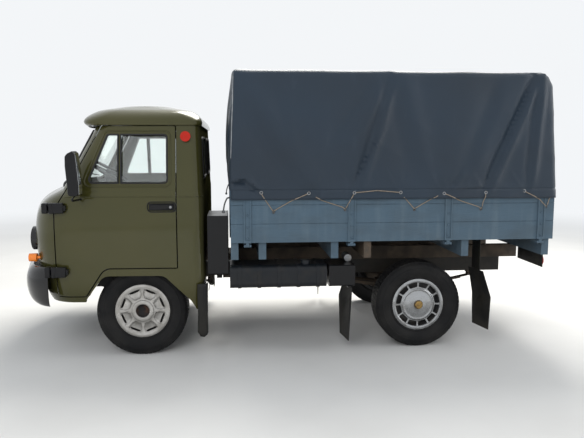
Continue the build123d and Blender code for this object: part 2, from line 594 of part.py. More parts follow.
def axle_parts():
    """Live axles with steering knuckles, springs and tie rod."""
    nodes = {}
    tube = rod("y", 0, 0, WHEEL_R, AXLE_TUBE_R, 2 * 545)
    carrier = rod("x", 0, DIFF_Y, WHEEL_R, 105, 110) + Pos(x_at(-77), DIFF_Y, WHEEL_R) * Rot(0, -90, 0) * Cone(100, 55, 44)
    nose = rod("x", 95, DIFF_Y, WHEEL_R, 45, 110)
    front = tube + carrier + nose
    for side in (-1, 1):
        y = side * KINGPIN_Y
        front += block(-32, 32, y - side * 70, y - side * 44, WHEEL_R - 86, WHEEL_R + 86)
        for dz in (-72, 72):
            lug = block(-26, 26, y - side * 45, y, WHEEL_R + dz - 14, WHEEL_R + dz + 14)
            lug += rod("z", 0, y, WHEEL_R + dz, 26, 28)
            front += lug
    for side in (-1, 1):
        front -= rod("z", 0, side * KINGPIN_Y, WHEEL_R, KINGPIN_R + HINGE_PLAY, 180)
    nodes["front_axle"] = front
    reach = WHEEL_Y + 50
    rear = rod("y", WHEELBASE, 0, WHEEL_R, AXLE_TUBE_R, 2 * 640)
    rear += rod("x", WHEELBASE, DIFF_Y, WHEEL_R, 110, 120)
    rear += Pos(x_at(WHEELBASE + 82), DIFF_Y, WHEEL_R) * Rot(0, 90, 0) * Cone(105, 60, 44)
    rear += rod("x", WHEELBASE - 105, DIFF_Y, WHEEL_R, 48, 100)
    for side in (-1, 1):
        rear += rod("y", WHEELBASE, side * 642, WHEEL_R, 135, 6)
        rear += rod("y", WHEELBASE, side * (644 + reach) / 2, WHEEL_R, SPINDLE_R, reach - 644)
    nodes["rear_axle"] = rear

    knuckle = rod("z", 0, -KINGPIN_Y, WHEEL_R, 26, 115) + rod("z", 0, -KINGPIN_Y, WHEEL_R, KINGPIN_R, 170)
    knuckle += block(-24, 24, -642, -KINGPIN_Y, WHEEL_R - 24, WHEEL_R + 24)
    knuckle += rod("y", 0, -644, WHEEL_R, 135, 6)
    knuckle += rod("y", 0, -(644 + reach) / 2, WHEEL_R, SPINDLE_R, reach - 644)
    knuckle += block(STEER_ARM, -10, -KINGPIN_Y - 11, -KINGPIN_Y + 11, WHEEL_R - 22, WHEEL_R + 2)
    knuckle += rod("z", STEER_ARM, -KINGPIN_Y, WHEEL_R - 10, 18, 24)
    knuckle -= rod("z", STEER_ARM, -KINGPIN_Y, WHEEL_R - 10, 8 + HINGE_PLAY, 60)
    nodes["knuckle_left"] = knuckle
    rod_z = WHEEL_R - 56
    tie = rod("y", STEER_ARM, 0, rod_z, 12, 2 * KINGPIN_Y - 20)
    for side in (-1, 1):
        tie += rod("z", STEER_ARM, side * KINGPIN_Y, rod_z + 6, 16, 44)
        tie += rod("z", STEER_ARM, side * KINGPIN_Y, rod_z + 42, 8, 34)
    nodes["tie_rod"] = tie

    springs = []
    for x, half in ((0, SPRING_HALF["front"]), (WHEELBASE, SPRING_HALF["rear"])):
        springs.append(leaf_pack(x, half))
    nodes["leaf_springs"] = both(group(*springs))
    hangers = []
    for x, half in ((0, SPRING_HALF["front"]), (WHEELBASE, SPRING_HALF["rear"])):
        for end in (-1, 1):
            place = x + end * half
            hangers.append(block(place - 20, place + 20, -SPRING_HANGER_OUT, -318,
                                 SPRING_EYE_Z + SPRING_EYE_R + SEAT_GAP, RAIL_BOTTOM - SEAT_GAP))
        clamp = block(x - 70, x + 70, -386, -304, 316, WHEEL_R - AXLE_TUBE_R - SEAT_GAP)
        for dx in (-60, 60):
            for y in (-380, -310):
                clamp += block(x + dx - 6, x + dx + 6, y - 5, y + 5, 316, SPRING_TOP + 12)
            clamp += block(x + dx - 6, x + dx + 6, -385, -305, SPRING_TOP + 2, SPRING_TOP + 12)
        hangers.append(clamp)
    nodes["spring_mounts"] = both(group(*hangers))
    return nodes


def leaf_pack(x, half):
    """Stepped leaves bent up at both ends, with the shortest on the axle."""
    base = WHEEL_R + AXLE_TUBE_R + SEAT_GAP
    top = base + SPRING_LEAVES * SPRING_LEAF
    bend = (half * half + SPRING_CAMBER * SPRING_CAMBER) / (2 * SPRING_CAMBER)
    pack = None
    for i in range(SPRING_LEAVES):
        upper = top - i * SPRING_LEAF
        r = bend + i * SPRING_LEAF
        reach = half * (1 - 0.13 * i)
        ring = Pos(x_at(x), -(RAIL_Y - SPRING_WIDTH / 2), top + bend) * Rot(90, 0, 0) * (
            Cylinder(r + SPRING_LEAF, SPRING_WIDTH, align=(Align.CENTER, Align.CENTER, Align.MIN))
            - Cylinder(r, SPRING_WIDTH, align=(Align.CENTER, Align.CENTER, Align.MIN)))
        leaf = ring & block(x - reach, x + reach, -500, -200, 300, top + SPRING_CAMBER + 20)
        pack = leaf if pack is None else pack + leaf
    for end in (-1, 1):
        pack += rod("y", x + end * half, -RAIL_Y, SPRING_EYE_Z, SPRING_EYE_R, SPRING_WIDTH)
    return pack


def cover_openings(half_outline, corners, count, bottom, x):
    """Cutters set round a left wheel cover at an axle, from bottom outwards, from half of one's outline."""
    points = [(-half, r) for r, half in half_outline] + [(half, r) for r, half in reversed(half_outline)]
    wire = FilletPolyline(*points, radius=corners + corners[::-1], close=True)
    one = Pos(0, -bottom, 0) * extrude(Plane.XZ * make_face(wire), 60)
    ring = [Rot(0, (i + 0.5) * 360 / count, 0) * one for i in range(count)]
    return [Pos(x_at(x), -WHEEL_Y, WHEEL_R) * cutter for cutter in ring]


def wheel_cover(end, x):
    """The pressed cover of a left wheel: pockets with slots in front, windows round a dome behind."""
    if end == "rear":
        cover = turned(REAR_FACE, x, -WHEEL_Y, WHEEL_R)
        return cover - cover_openings(WINDOW_SHAPE, WINDOW_CORNERS, REAR_WINDOWS, 60, x)
    cover = turned(FRONT_FACE, x, -WHEEL_Y, WHEEL_R)
    cover -= cover_openings(POCKET_OUTLINE, POCKET_CORNERS, FRONT_POCKETS, POCKET_FLOOR, x)
    return cover - cover_openings(SLOT_OUTLINE, SLOT_CORNERS, FRONT_POCKETS, 60, x)


def wheel_parts():
    """One front and one rear wheel of the left side, at their places."""
    nodes = {}
    y = -WHEEL_Y
    for end, x, hub_section in (("front", 0, HUB_SECTION), ("rear", WHEELBASE, REAR_HUB_SECTION)):
        nodes[f"tyre_{end}_left"] = turned(TYRE_SECTION, x, y, WHEEL_R)
        rim = turned(RIM_SECTION, x, y, WHEEL_R) + turned(WHEEL_DISC, x, y, WHEEL_R)
        hub = turned(hub_section, x, y, WHEEL_R)
        hub -= rod("y", x, y, WHEEL_R, SPINDLE_R + HINGE_PLAY, 2 * 50 + 2)
        nodes[f"wheel_{end}_left"] = rim + wheel_cover(end, x) + hub
    return nodes


def bed_parts():
    nodes = {}
    inner = BED_HALF_WIDTH - BOARD_THICKNESS - BOARD_GAP
    floor_front = BED_FRONT + BOARD_THICKNESS + SEAT_GAP
    floor = block(floor_front, BED_BACK - BOARD_THICKNESS - BOARD_GAP, -inner, inner, BOARD_BOTTOM,
                  BOARD_BOTTOM + FLOOR_THICKNESS)
    for i in range(1, 10):
        y = -inner + i * 2 * inner / 10
        floor -= block(BED_FRONT - 1, BED_BACK, y - 2, y + 2, BOARD_BOTTOM + FLOOR_THICKNESS - 3, BOARD_BOTTOM + 60)
    nodes["bed_floor"] = floor
    beams = [block(x - BEAM_WIDTH / 2, x + BEAM_WIDTH / 2, -inner, inner, BOARD_BOTTOM - BEAM_HEIGHT,
                   BOARD_BOTTOM - SEAT_GAP) for x in BEAM_PLACES]
    sill = block(BED_FRONT, BED_BACK - 16, -RAIL_Y - 30, -RAIL_Y + 30, RAIL_TOP + SEAT_GAP,
                 BOARD_BOTTOM - BEAM_HEIGHT - SEAT_GAP)
    nodes["bed_beams"] = group(*beams, sill, mirrored(sill))
    front = block(BED_FRONT, BED_FRONT + BOARD_THICKNESS, -inner, inner, BOARD_BOTTOM, BOARD_TOP)
    for x in (BED_FRONT - 1, BED_FRONT + BOARD_THICKNESS - 3):
        front -= plank_grooves(x, x + 4, -inner - 1, inner + 1)
    for y in TAILGATE_STRAPS:
        front += block(BED_FRONT - STRAP_THICKNESS, BED_FRONT + 1, y - 30, y + 30, BOARD_BOTTOM, BOARD_TOP)
    nodes["bed_front_board"] = front

    side = block(BED_FRONT, BED_BACK, -BED_HALF_WIDTH, -BED_HALF_WIDTH + BOARD_THICKNESS, BOARD_BOTTOM, BOARD_TOP)
    side -= plank_grooves(BED_FRONT - 1, BED_BACK + 1, -BED_HALF_WIDTH - 1, -BED_HALF_WIDTH + 3)
    side -= plank_grooves(BED_FRONT - 1, BED_BACK + 1, -BED_HALF_WIDTH + BOARD_THICKNESS - 3,
                          -BED_HALF_WIDTH + BOARD_THICKNESS + 1)
    pin_y = BED_HALF_WIDTH + 2
    hinges = []
    for x in STRAP_PLACES:
        side += strap(x, pin_y)
        hinges.append(hinge_base(x, pin_y))
    nodes["side_board_left"] = side

    gate = block(BED_BACK - BOARD_THICKNESS, BED_BACK, -inner, inner, BOARD_BOTTOM, BOARD_TOP)
    gate -= plank_grooves(BED_BACK - 3, BED_BACK + 1, -inner - 1, inner + 1)
    gate -= plank_grooves(BED_BACK - BOARD_THICKNESS - 1, BED_BACK - BOARD_THICKNESS + 3, -inner - 1, inner + 1)
    gate_hinges = []
    turn = Rot(0, 0, 90)
    for y in TAILGATE_STRAPS:
        moved = Pos(x_at(BED_BACK) - BED_HALF_WIDTH, y, 0) * turn * Pos(-x_at(0), 0, 0)
        gate += moved * strap(0, pin_y)
        gate_hinges.append(moved * hinge_base(0, pin_y, 12))
    nodes["tailgate"] = gate
    nodes["board_hinges"] = group(*hinges, *[mirrored(h) for h in hinges], *gate_hinges)
    return nodes


def plank_grooves(x0, x1, y0, y1):
    cut = None
    z = BOARD_BOTTOM
    for height in PLANKS[:-1]:
        z += height
        groove = block(x0, x1, y0, y1, z - PLANK_GROOVE / 2, z + PLANK_GROOVE / 2)
        cut = groove if cut is None else cut + groove
    return cut


def strap(x, pin_y):
    """A hinge strap down the outside of a board, with its knuckle round the pin."""
    y_face = BED_HALF_WIDTH
    outer = block(x - STRAP_WIDTH / 2, x + STRAP_WIDTH / 2, -y_face - STRAP_THICKNESS, -y_face, BOARD_BOTTOM,
                  BOARD_TOP)
    outer -= block(x - STRAP_WIDTH / 2 + 12, x + STRAP_WIDTH / 2 - 12, -y_face - STRAP_THICKNESS - 1,
                   -y_face - 3, BOARD_BOTTOM + 18, BOARD_TOP - 8)
    knuckle = rod("x", x, -pin_y, HINGE_PIN_Z, HINGE_KNUCKLE_R, 26)
    knuckle += block(x - 13, x + 13, -y_face - 9, -y_face + 8, HINGE_PIN_Z, BOARD_BOTTOM + 4)
    knuckle -= rod("x", x, -pin_y, HINGE_PIN_Z, HINGE_PIN_R + HINGE_PLAY, 40)
    return outer + knuckle


def hinge_base(x, pin_y, arm=34):
    """Two lugs with the pin, fixed under the bed's edge."""
    base = rod("x", x, -pin_y, HINGE_PIN_Z, HINGE_PIN_R, 58)
    for dx in (-21.5, 21.5):
        base += rod("x", x + dx, -pin_y, HINGE_PIN_Z, HINGE_KNUCKLE_R, 15)
        base += block(x + dx - 7.5, x + dx + 7.5, -pin_y, -pin_y + arm + 6, HINGE_PIN_Z - 11, HINGE_PIN_Z + 11)
    if arm > 20:
        base += block(x - 29, x + 29, -pin_y + arm + 1, -pin_y + 100, HINGE_PIN_Z - 11, BOARD_BOTTOM - SEAT_GAP)
    else:
        base += block(x - 29, x + 29, -pin_y + 12.5, -pin_y + 17.7, HINGE_PIN_Z - 25, BOARD_BOTTOM - 4)
    return base


def tilt_form(inset=0.0, x_more=0.0):
    """The tent's solid form, moved in by inset."""
    side = [(x_at(x), z) for x, z in TILT_SIDE]
    across = TILT_ACROSS
    side_shape = Plane.XZ * offset(make_face(FilletPolyline(*side, radius=TILT_SIDE_R, close=True)), -inset)
    long_prism = Pos(0, 1200, 0) * extrude(side_shape, 2400)
    face = offset(make_face(FilletPolyline(*across, radius=TILT_ACROSS_R, close=True)), -inset)
    face = Plane(origin=(x_at(0), 0, 0), x_dir=(0, 1, 0), z_dir=(1, 0, 0)) * face
    return long_prism & extrude(face, 4000)


def tilt_parts():
    nodes = {}
    shell = tilt_form() - tilt_form(CLOTH)
    shell &= block(500, 3600, -1200, 1200, BOARD_TOP + SKIRT_JOIN, 2500)
    half = 948
    split = TILT_EAVES
    mid = 2000
    gap = SEAT_GAP
    left = shell & block(500, 3600, -1200, -half - gap, 1300, split - gap)
    nodes["tilt_sides"] = both(left)
    nodes["tilt_front"] = shell & block(500, mid, -half, half, 1300, split - gap)
    nodes["tilt_rear"] = shell & block(mid, 3600, -half, half, 1300, split - gap)
    nodes["tilt_top"] = shell & block(500, 3600, -1200, 1200, split, 2500)
    skirt_top = BOARD_TOP + SKIRT_JOIN - gap
    skirt = block(BED_FRONT - 12, BED_BACK + 12, -TILT_SKIRT_HALF, -TILT_SKIRT_HALF + CLOTH,
                  TILT_SKIRT_BOTTOM, skirt_top)
    nodes["skirt_left"] = skirt
    nodes["skirt_rear"] = block(BED_BACK + 13, BED_BACK + 18, -TILT_SKIRT_HALF + CLOTH + 5,
                                TILT_SKIRT_HALF - CLOTH - 5, TILT_SKIRT_BOTTOM, skirt_top)
    legs, bows = [], []
    for x in HOOP_PLACES:
        legs.append(rod("z", x, -HOOP_Y, (BOARD_BOTTOM + FLOOR_THICKNESS + SEAT_GAP + HOOP_SPRING) / 2, HOOP_R,
                        HOOP_SPRING - BOARD_BOTTOM - FLOOR_THICKNESS - SEAT_GAP))
        path = [(x, -HOOP_Y, HOOP_SPRING + SEAT_GAP), (x, -HOOP_Y, HOOP_EAVES), (x, 0, HOOP_CROWN),
                (x, HOOP_Y, HOOP_EAVES), (x, HOOP_Y, HOOP_SPRING + SEAT_GAP)]
        bows.append(tube_along(path, [24, 3000, 24], HOOP_R))
    nodes["hoop_legs"] = both(group(*legs))
    nodes["hoop_bows"] = group(*bows)
    return nodes


def trim_parts(rest):
    """Mud flaps and lamps at the tail."""
    nodes = {}
    flaps = []
    kink = CAB_BOTTOM - 1
    upper = block(CAB_BACK + SEAT_GAP, CAB_BACK + SEAT_GAP + 6, -925, -690, kink, 626)
    lower = loft([Pos(x_at(CAB_BACK + SEAT_GAP + 3), -807.5, kink) * Rectangle(6, 235),
                  Pos(x_at(472), -807.5, 170) * Rectangle(6, 225)], ruled=True)
    flaps.append(largest((upper + lower) - rest))
    for top, bottom in REAR_FLAPS:
        ends = []
        for x, y, z, turn, width in (top, bottom):
            ends.append(Pos(x_at(x), y, z) * Rot(0, 0, turn) * Rectangle(6, width))
        flaps.append(loft(ends, ruled=True))
    flaps.append(block(2798, 2802, -900, -730, 663, BOARD_BOTTOM - SEAT_GAP))
    flaps.append(block(1676, 1704, -925, -SPRING_HANGER_OUT - SEAT_GAP, 546, RAIL_BOTTOM - SEAT_GAP))
    nodes["mud_flaps"] = both(group(*flaps))
    panel = block(3330, 3335, -930, -480, 690, BOARD_BOTTOM - BEAM_HEIGHT - SEAT_GAP)
    nodes["tail_panels"] = both(panel)
    lamp = rod("x", 3349, -850, 738, 44, 27.4)
    nodes["tail_lamps"] = both(lamp)
    return nodes


# Like pieces on one body that share a node
SHARED_NODES = {
    "frame": ("frame_rails", "frame_crossmembers"),
    "bumper": ("bumper", "bumper_stays"),
    "leaf_springs": ("leaf_springs", "spring_mounts"),
    "drivetrain": ("powertrain", "propshafts"),
    "side_boxes": ("tool_case", "battery_box"),
    "cab_floor": ("cab_floor", "seat_boxes"),
    "controls": ("controls", "steering_column"),
    "nose_trim": ("grille", "headlamp_rings"),
    "red_lamps": ("marker_lamps", "tail_lamps"),
    "mud_flaps": ("mud_flaps", "tail_panels"),
    "bed_floor": ("bed_floor", "bed_front_board"),
    "hoops": ("hoop_legs", "hoop_bows"),
    "tilt_ends": ("tilt_front", "tilt_rear"),
    "door_fittings_left": ("door_fittings_left", "mirror_left"),
}


def main():
    shapes, outer, rest = cab_parts()
    shapes["mirror_left"] = mirror_parts(rest)
    shapes.update(trim_parts(rest))
    for make in (cab_inside, frame_parts, axle_parts, wheel_parts, bed_parts, tilt_parts):
        shapes.update(make())
    for name, members in SHARED_NODES.items():
        solids = group(*[shapes.pop(member) for member in members])
        shapes[name] = solids
    for name in list(shapes):
        if name.endswith("_left"):
            shapes[name[:-4] + "right"] = mirrored(shapes[name])
    os.makedirs("parts", exist_ok=True)
    for name, shape in sorted(shapes.items()):
        if not shape.solids():
            raise ValueError(f"{name} is empty")
        export_step(shape, f"parts/{name}.step")


if __name__ == "__main__":
    main()
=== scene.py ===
"""Looks of a light forward-control cargo truck with a canvas tilt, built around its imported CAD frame.

Metres, in the frame's own axes: the truck faces -X, its left side is -Y and +Z is up.
Places measured in the photograph are given as a distance behind the front axle, and axle_x() turns them
into X. What both sides have is made for the left one and flipped.
"""
import math

import bmesh
import bpy
from mathutils import Matrix, Vector, noise
from mathutils.bvhtree import BVHTree


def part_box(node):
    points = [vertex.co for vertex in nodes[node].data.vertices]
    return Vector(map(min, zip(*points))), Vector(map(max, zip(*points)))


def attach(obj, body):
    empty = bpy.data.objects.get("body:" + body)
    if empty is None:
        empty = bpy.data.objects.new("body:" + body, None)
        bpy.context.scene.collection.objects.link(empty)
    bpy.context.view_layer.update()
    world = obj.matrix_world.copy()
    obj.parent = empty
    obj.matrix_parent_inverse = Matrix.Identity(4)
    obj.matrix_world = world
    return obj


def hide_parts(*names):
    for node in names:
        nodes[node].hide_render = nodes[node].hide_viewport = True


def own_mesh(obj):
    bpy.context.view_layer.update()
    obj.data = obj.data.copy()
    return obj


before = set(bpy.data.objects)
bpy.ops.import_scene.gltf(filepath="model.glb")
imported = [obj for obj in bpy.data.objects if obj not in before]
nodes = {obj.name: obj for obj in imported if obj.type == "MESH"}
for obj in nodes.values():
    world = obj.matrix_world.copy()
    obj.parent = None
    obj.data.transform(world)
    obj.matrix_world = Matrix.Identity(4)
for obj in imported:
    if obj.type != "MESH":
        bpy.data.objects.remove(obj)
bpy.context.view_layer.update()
scene = bpy.context.scene


def middle(node):
    low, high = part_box(node)
    return (low + high) / 2


FRONT_AXLE = middle("wheel_front_left").x
REAR_AXLE = middle("wheel_rear_left").x
WHEEL_HEIGHT = middle("wheel_front_left").z
WHEEL_SIDE = -middle("wheel_front_left").y
SIDES = {"left": -1, "right": 1}


def axle_x(distance):
    """X of a place given as a distance behind the front axle."""
    return FRONT_AXLE + distance


# Photograph's view, found from the wheels, the bed's corners and the cab
CAMERA_PLACE = (axle_x(0.7519), -5.7807, 1.6891)
CAMERA_YAW = 5.43        # degrees towards the tail
CAMERA_PITCH = -6.64
CAMERA_LENS = 37.67      # on a 36 mm wide sensor


def linked(name, data):
    """A new object in the scene."""
    thing = bpy.data.objects.new(name, data)
    scene.collection.objects.link(thing)
    return thing


def add_camera():
    data = bpy.data.cameras.new("camera")
    data.lens = CAMERA_LENS
    data.sensor_width = 36.0
    data.clip_start = 0.1
    data.clip_end = 200.0
    camera = linked("camera", data)
    camera.location = CAMERA_PLACE
    camera.rotation_euler = (math.radians(90 + CAMERA_PITCH), 0, math.radians(-CAMERA_YAW))
    scene.camera = camera


# Shader trees
def add_node(tree, kind, settings=None):
    """A node. Settings in small letters are its own, and the others are the values of its inputs."""
    node = tree.nodes.new("ShaderNode" + kind)
    for key, value in (settings or {}).items():
        if key.islower():
            setattr(node, key, value)
        else:
            node.inputs[key].default_value = value
    return node


def wire(tree, parts, kinds, links):
    """Adds nodes beside the parts and joins them all.

    kinds has each new node's kind and settings under its name. links has a line for each link,
    "node.output > node.input", with sockets by name or number.
    """
    for name, (kind, *settings) in kinds.items():
        parts[name] = add_node(tree, kind, *settings)
    for line in links.strip().splitlines():
        (source, output), (target, entry) = (end.strip().split(".") for end in line.split(">"))
        output = parts[source].outputs[int(output) if output.isdigit() else output]
        tree.links.new(output, parts[target].inputs[int(entry) if entry.isdigit() else entry])


def shader_group(name, inputs, outputs, kinds, links):
    """An effect that several finishes share. inputs has each value and outputs each kind of socket."""
    group = bpy.data.node_groups.new(name, "ShaderNodeTree")
    for label, value in inputs.items():
        kind = {3: "Vector", 4: "Color"}[len(value)] if isinstance(value, tuple) else "Float"
        socket = group.interface.new_socket(name=label, in_out="INPUT", socket_type="NodeSocket" + kind)
        socket.default_value = value
    for label, kind in outputs.items():
        group.interface.new_socket(name=label, in_out="OUTPUT", socket_type="NodeSocket" + kind)
    ends = {"start": group.nodes.new("NodeGroupInput"), "end": group.nodes.new("NodeGroupOutput")}
    wire(group, ends, kinds, links)
    return group


MULTIPLY = {"operation": "MULTIPLY"}
CLAMPED = {"operation": "MULTIPLY", "use_clamp": True}
COLOUR_MIX = {"data_type": "RGBA"}
GREY = (0.5, 0.5, 0.5, 1)

# Two colours of one finish, mixed by stretched noise
TONES = shader_group("tone_variation", {
    "Colour": GREY, "Second Colour": (0.4, 0.4, 0.4, 1), "Scale": 5.0, "Stretch": (1, 1, 1), "Low": 0.4,
    "High": 0.6, "Detail": 4.0}, {"Colour": "Color", "Mask": "Float"}, {
    "place": ("TexCoord",), "stretch": ("VectorMath", MULTIPLY), "speckle": ("TexNoise",),
    "limits": ("MapRange",), "mix": ("Mix", COLOUR_MIX)}, """
    place.Object > stretch.0
    start.Stretch > stretch.1
    stretch.0 > speckle.Vector
    start.Scale > speckle.Scale
    start.Detail > speckle.Detail
    speckle.Fac > limits.Value
    start.Low > limits.From Min
    start.High > limits.From Max
    limits.Result > mix.Factor
    start.Colour > mix.A
    start.Second Colour > mix.B
    mix.Result > end.Colour
    limits.Result > end.Mask
""")

# Road dust that lies thicker near the ground
DUST = shader_group("road_dust", {
    "Colour": GREY, "Dust": (0.32, 0.27, 0.2, 1), "Height": 0.7, "Amount": 0.5, "Scale": 6.0},
    {"Colour": "Color", "Mask": "Float"}, {
    "place": ("TexCoord",), "split": ("SeparateXYZ",),
    "fall": ("MapRange", {"From Min": 0.15, "To Min": 1.0, "To Max": 0.0}),
    "speckle": ("TexNoise", {"Detail": 6.0, "Roughness": 0.6}),
    "patchy": ("MapRange", {"From Min": 0.35, "From Max": 0.7}),
    "strength": ("Math", MULTIPLY), "amount": ("Math", CLAMPED), "mix": ("Mix", COLOUR_MIX)}, """
    place.Object > split.0
    place.Object > speckle.Vector
    start.Scale > speckle.Scale
    split.Z > fall.Value
    start.Height > fall.From Max
    speckle.Fac > patchy.Value
    fall.Result > strength.0
    patchy.Result > strength.1
    strength.0 > amount.0
    start.Amount > amount.1
    amount.0 > mix.Factor
    start.Colour > mix.A
    start.Dust > mix.B
    mix.Result > end.Colour
    amount.0 > end.Mask
""")

# Rounded normals at sharp edges, and a broken mask where paint wears off them
EDGES = shader_group("worn_edges", {"Radius": 0.003, "Wear": 1.0, "Scale": 40.0},
                     {"Normal": "Vector", "Mask": "Float"}, {
    "bevel": ("Bevel", {"samples": 4}), "flat": ("NewGeometry",), "place": ("TexCoord",),
    "match": ("VectorMath", {"operation": "DOT_PRODUCT"}),
    "turned": ("MapRange", {"From Min": 0.97, "From Max": 0.85}),
    "speckle": ("TexNoise", {"Detail": 5.0}), "broken": ("MapRange", {"From Min": 0.48, "From Max": 0.62}),
    "both": ("Math", MULTIPLY), "amount": ("Math", CLAMPED)}, """
    start.Radius > bevel.Radius
    bevel.Normal > match.0
    flat.Normal > match.1
    match.Value > turned.Value
    place.Object > speckle.Vector
    start.Scale > speckle.Scale
    speckle.Fac > broken.Value
    turned.Result > both.0
    broken.Result > both.1
    both.0 > amount.0
    start.Wear > amount.1
    bevel.Normal > end.Normal
    amount.0 > end.Mask
""")

# Crossing threads of cloth in the piece's own UV map, in metres
WEAVE = shader_group("cloth_weave", {"Threads": 900.0}, {"Height": "Float"}, {
    "place": ("TexCoord",), "scale": ("VectorMath", {"operation": "SCALE"}), "split": ("SeparateXYZ",),
    "warp": ("Math", {"operation": "SINE"}), "weft": ("Math", {"operation": "SINE"}),
    "both": ("Math", MULTIPLY)}, """
    place.UV > scale.0
    start.Threads > scale.Scale
    scale.0 > split.0
    split.X > warp.0
    split.Y > weft.0
    warp.0 > both.0
    weft.0 > both.1
    both.0 > end.Height
""")


class Finish:
    """One material: a Principled shader whose colour, roughness and bump come from the shared effects."""

    def __init__(self, name, colour, roughness, metallic=0.0, **sockets):
        self.material = bpy.data.materials.new(name)
        self.material.use_nodes = True
        self.material.diffuse_color = (*colour, 1)
        self.tree = self.material.node_tree
        self.join = self.tree.links.new
        self.shader = self.tree.nodes["Principled BSDF"]
        self.colour = None
        self.normal = None
        sockets.update(base_color=(*colour, 1), roughness=roughness, metallic=metallic)
        for label, value in sockets.items():
            self.shader.inputs[label.replace("_", " ").title().replace("Ior", "IOR")].default_value = value

    def effect(self, group, values):
        return add_node(self.tree, "Group", {"node_tree": group, **values})

    def recolour(self, node, entry="Colour", result="Colour"):
        """Sends the colour made so far, or the plain one, through a node."""
        base = self.shader.inputs["Base Color"]
        if self.colour is None:
            node.inputs[entry].default_value = base.default_value
        else:
            self.join(self.colour, node.inputs[entry])
        self.colour = node.outputs[result]
        self.join(self.colour, base)

    def tones(self, second, scale=5.0, low=0.4, high=0.6, stretch=(1, 1, 1), detail=4.0, bump=0.0):
        """Mixes in a second colour where noise is above low, and wholly where it is above high."""
        node = self.effect(TONES, {"Second Colour": (*second, 1), "Scale": scale, "Stretch": stretch,
                                   "Low": low, "High": high, "Detail": detail})
        self.recolour(node)
        return self.bump(node.outputs["Mask"], bump) if bump else self

    def dust(self, height, amount, colour, scale=6.0, rough=0.85):
        """Dust up to a height, which also makes the finish rougher."""
        node = self.effect(DUST, {"Dust": (*colour, 1), "Height": height, "Amount": amount, "Scale": scale})
        self.recolour(node)
        socket = self.shader.inputs["Roughness"]
        blend = add_node(self.tree, "MapRange", {"To Min": socket.default_value, "To Max": rough})
        self.join(node.outputs["Mask"], blend.inputs["Value"])
        self.join(blend.outputs["Result"], socket)
        return self

    def edges(self, radius, wear=0.0, bare=(0.2, 0.2, 0.2), scale=40.0):
        """Softens the CAD model's sharp edges, and wears paint off them down to the bare colour."""
        node = self.effect(EDGES, {"Radius": radius, "Wear": wear, "Scale": scale})
        self.join(node.outputs["Normal"], self.normal or self.shader.inputs["Normal"])
        if wear:
            mix = add_node(self.tree, "Mix", {**COLOUR_MIX, "B": (*bare, 1)})
            self.join(node.outputs["Mask"], mix.inputs["Factor"])
            self.recolour(mix, "A", "Result")
        return self

    def bump(self, output, distance):
        """Adds a height to the bumps made so far."""
        node = add_node(self.tree, "Bump", {"Distance": distance, "Strength": 1.0})
        self.join(output, node.inputs["Height"])
        socket = self.shader.inputs["Normal"]
        if socket.is_linked:
            self.join(socket.links[0].from_socket, node.inputs["Normal"])
        elif self.normal is None:
            self.normal = node.inputs["Normal"]
        self.join(node.outputs["Normal"], socket)
        return self

    def grain(self, scale, distance, stretch=(1, 1, 1), detail=3.0):
        """A fine surface grain."""
        node = self.effect(TONES, {"Scale": scale, "Stretch": stretch, "Low": 0.3, "High": 0.7,
                                   "Detail": detail})
        return self.bump(node.outputs["Mask"], distance)

    def weave(self, thread, distance):
        """Cloth with threads of this width."""
        node = self.effect(WEAVE, {"Threads": 2 * math.pi / thread})
        return self.bump(node.outputs["Height"], distance)


def glass(name, colour):
    """Clear glass that lets most of the lamps' light through to what is behind it."""
    finish = Finish(name, colour, 0.02, transmission_weight=1.0, ior=1.45)
    wire(finish.tree, {"shader": finish.shader}, {
        "rays": ("LightPath",), "opaque": ("MapRange", {"To Min": 1.0, "To Max": 0.12})}, """
        rays.Is Shadow Ray > opaque.Value
        opaque.Result > shader.Alpha""")
    return finish


# Finishes, named for what they cover
OLIVE = (0.028, 0.028, 0.006)
SLATE = (0.0125, 0.0252, 0.042)
BED_BLUE = (0.067, 0.107, 0.144)
CHASSIS = (0.009, 0.009, 0.009)
DIRT = (0.085, 0.068, 0.048)
DARK_DIRT = (0.07, 0.06, 0.045)
BRAKE_DUST = (0.14, 0.115, 0.09)

cab_paint = Finish("cab_olive_paint", OLIVE, 0.4, coat_weight=0.75, coat_roughness=0.02,
                   specular_ior_level=0.3, specular_tint=(0.8, 0.75, 0.3, 1))
cab_paint.tones((0.038, 0.035, 0.009), 1.3, 0.35, 0.65).grain(220, 0.00012)
cab_paint.edges(0.004).dust(0.75, 0.25, (0.14, 0.12, 0.07))
rear_wall_paint = Finish("cab_rear_wall_dusty_paint", (0.034, 0.034, 0.012), 0.8, specular_ior_level=0.0)
rear_wall_paint.tones((0.048, 0.045, 0.022), 2.0, 0.35, 0.7).edges(0.004)

bed_paint = Finish("bed_grey_blue_paint", BED_BLUE, 0.55, specular_ior_level=0.3)
bed_paint.tones((0.103, 0.145, 0.178), 2.2, 0.5, 0.85, stretch=(7, 7, 0.8), detail=5)
bed_paint.tones((0.058, 0.085, 0.108), 3.0, 0.45, 0.8, stretch=(1, 1, 2.5))
bed_paint.grain(14, 0.0009, stretch=(1, 14, 14), detail=6)
bed_paint.edges(0.003, wear=0.7, bare=(0.035, 0.04, 0.042), scale=30).dust(1.2, 0.3, (0.16, 0.15, 0.12))

tilt_canvas = Finish("tilt_slate_tarpaulin", SLATE, 0.42, specular_ior_level=0.42, sheen_weight=0.04)
tilt_canvas.tones((0.012, 0.021, 0.033), 1.3, 0.35, 0.7, detail=6)
tilt_canvas.tones((0.023, 0.036, 0.055), 9, 0.62, 0.9, stretch=(1, 1, 0.35), detail=8)
tilt_canvas.weave(0.0026, 0.00018)

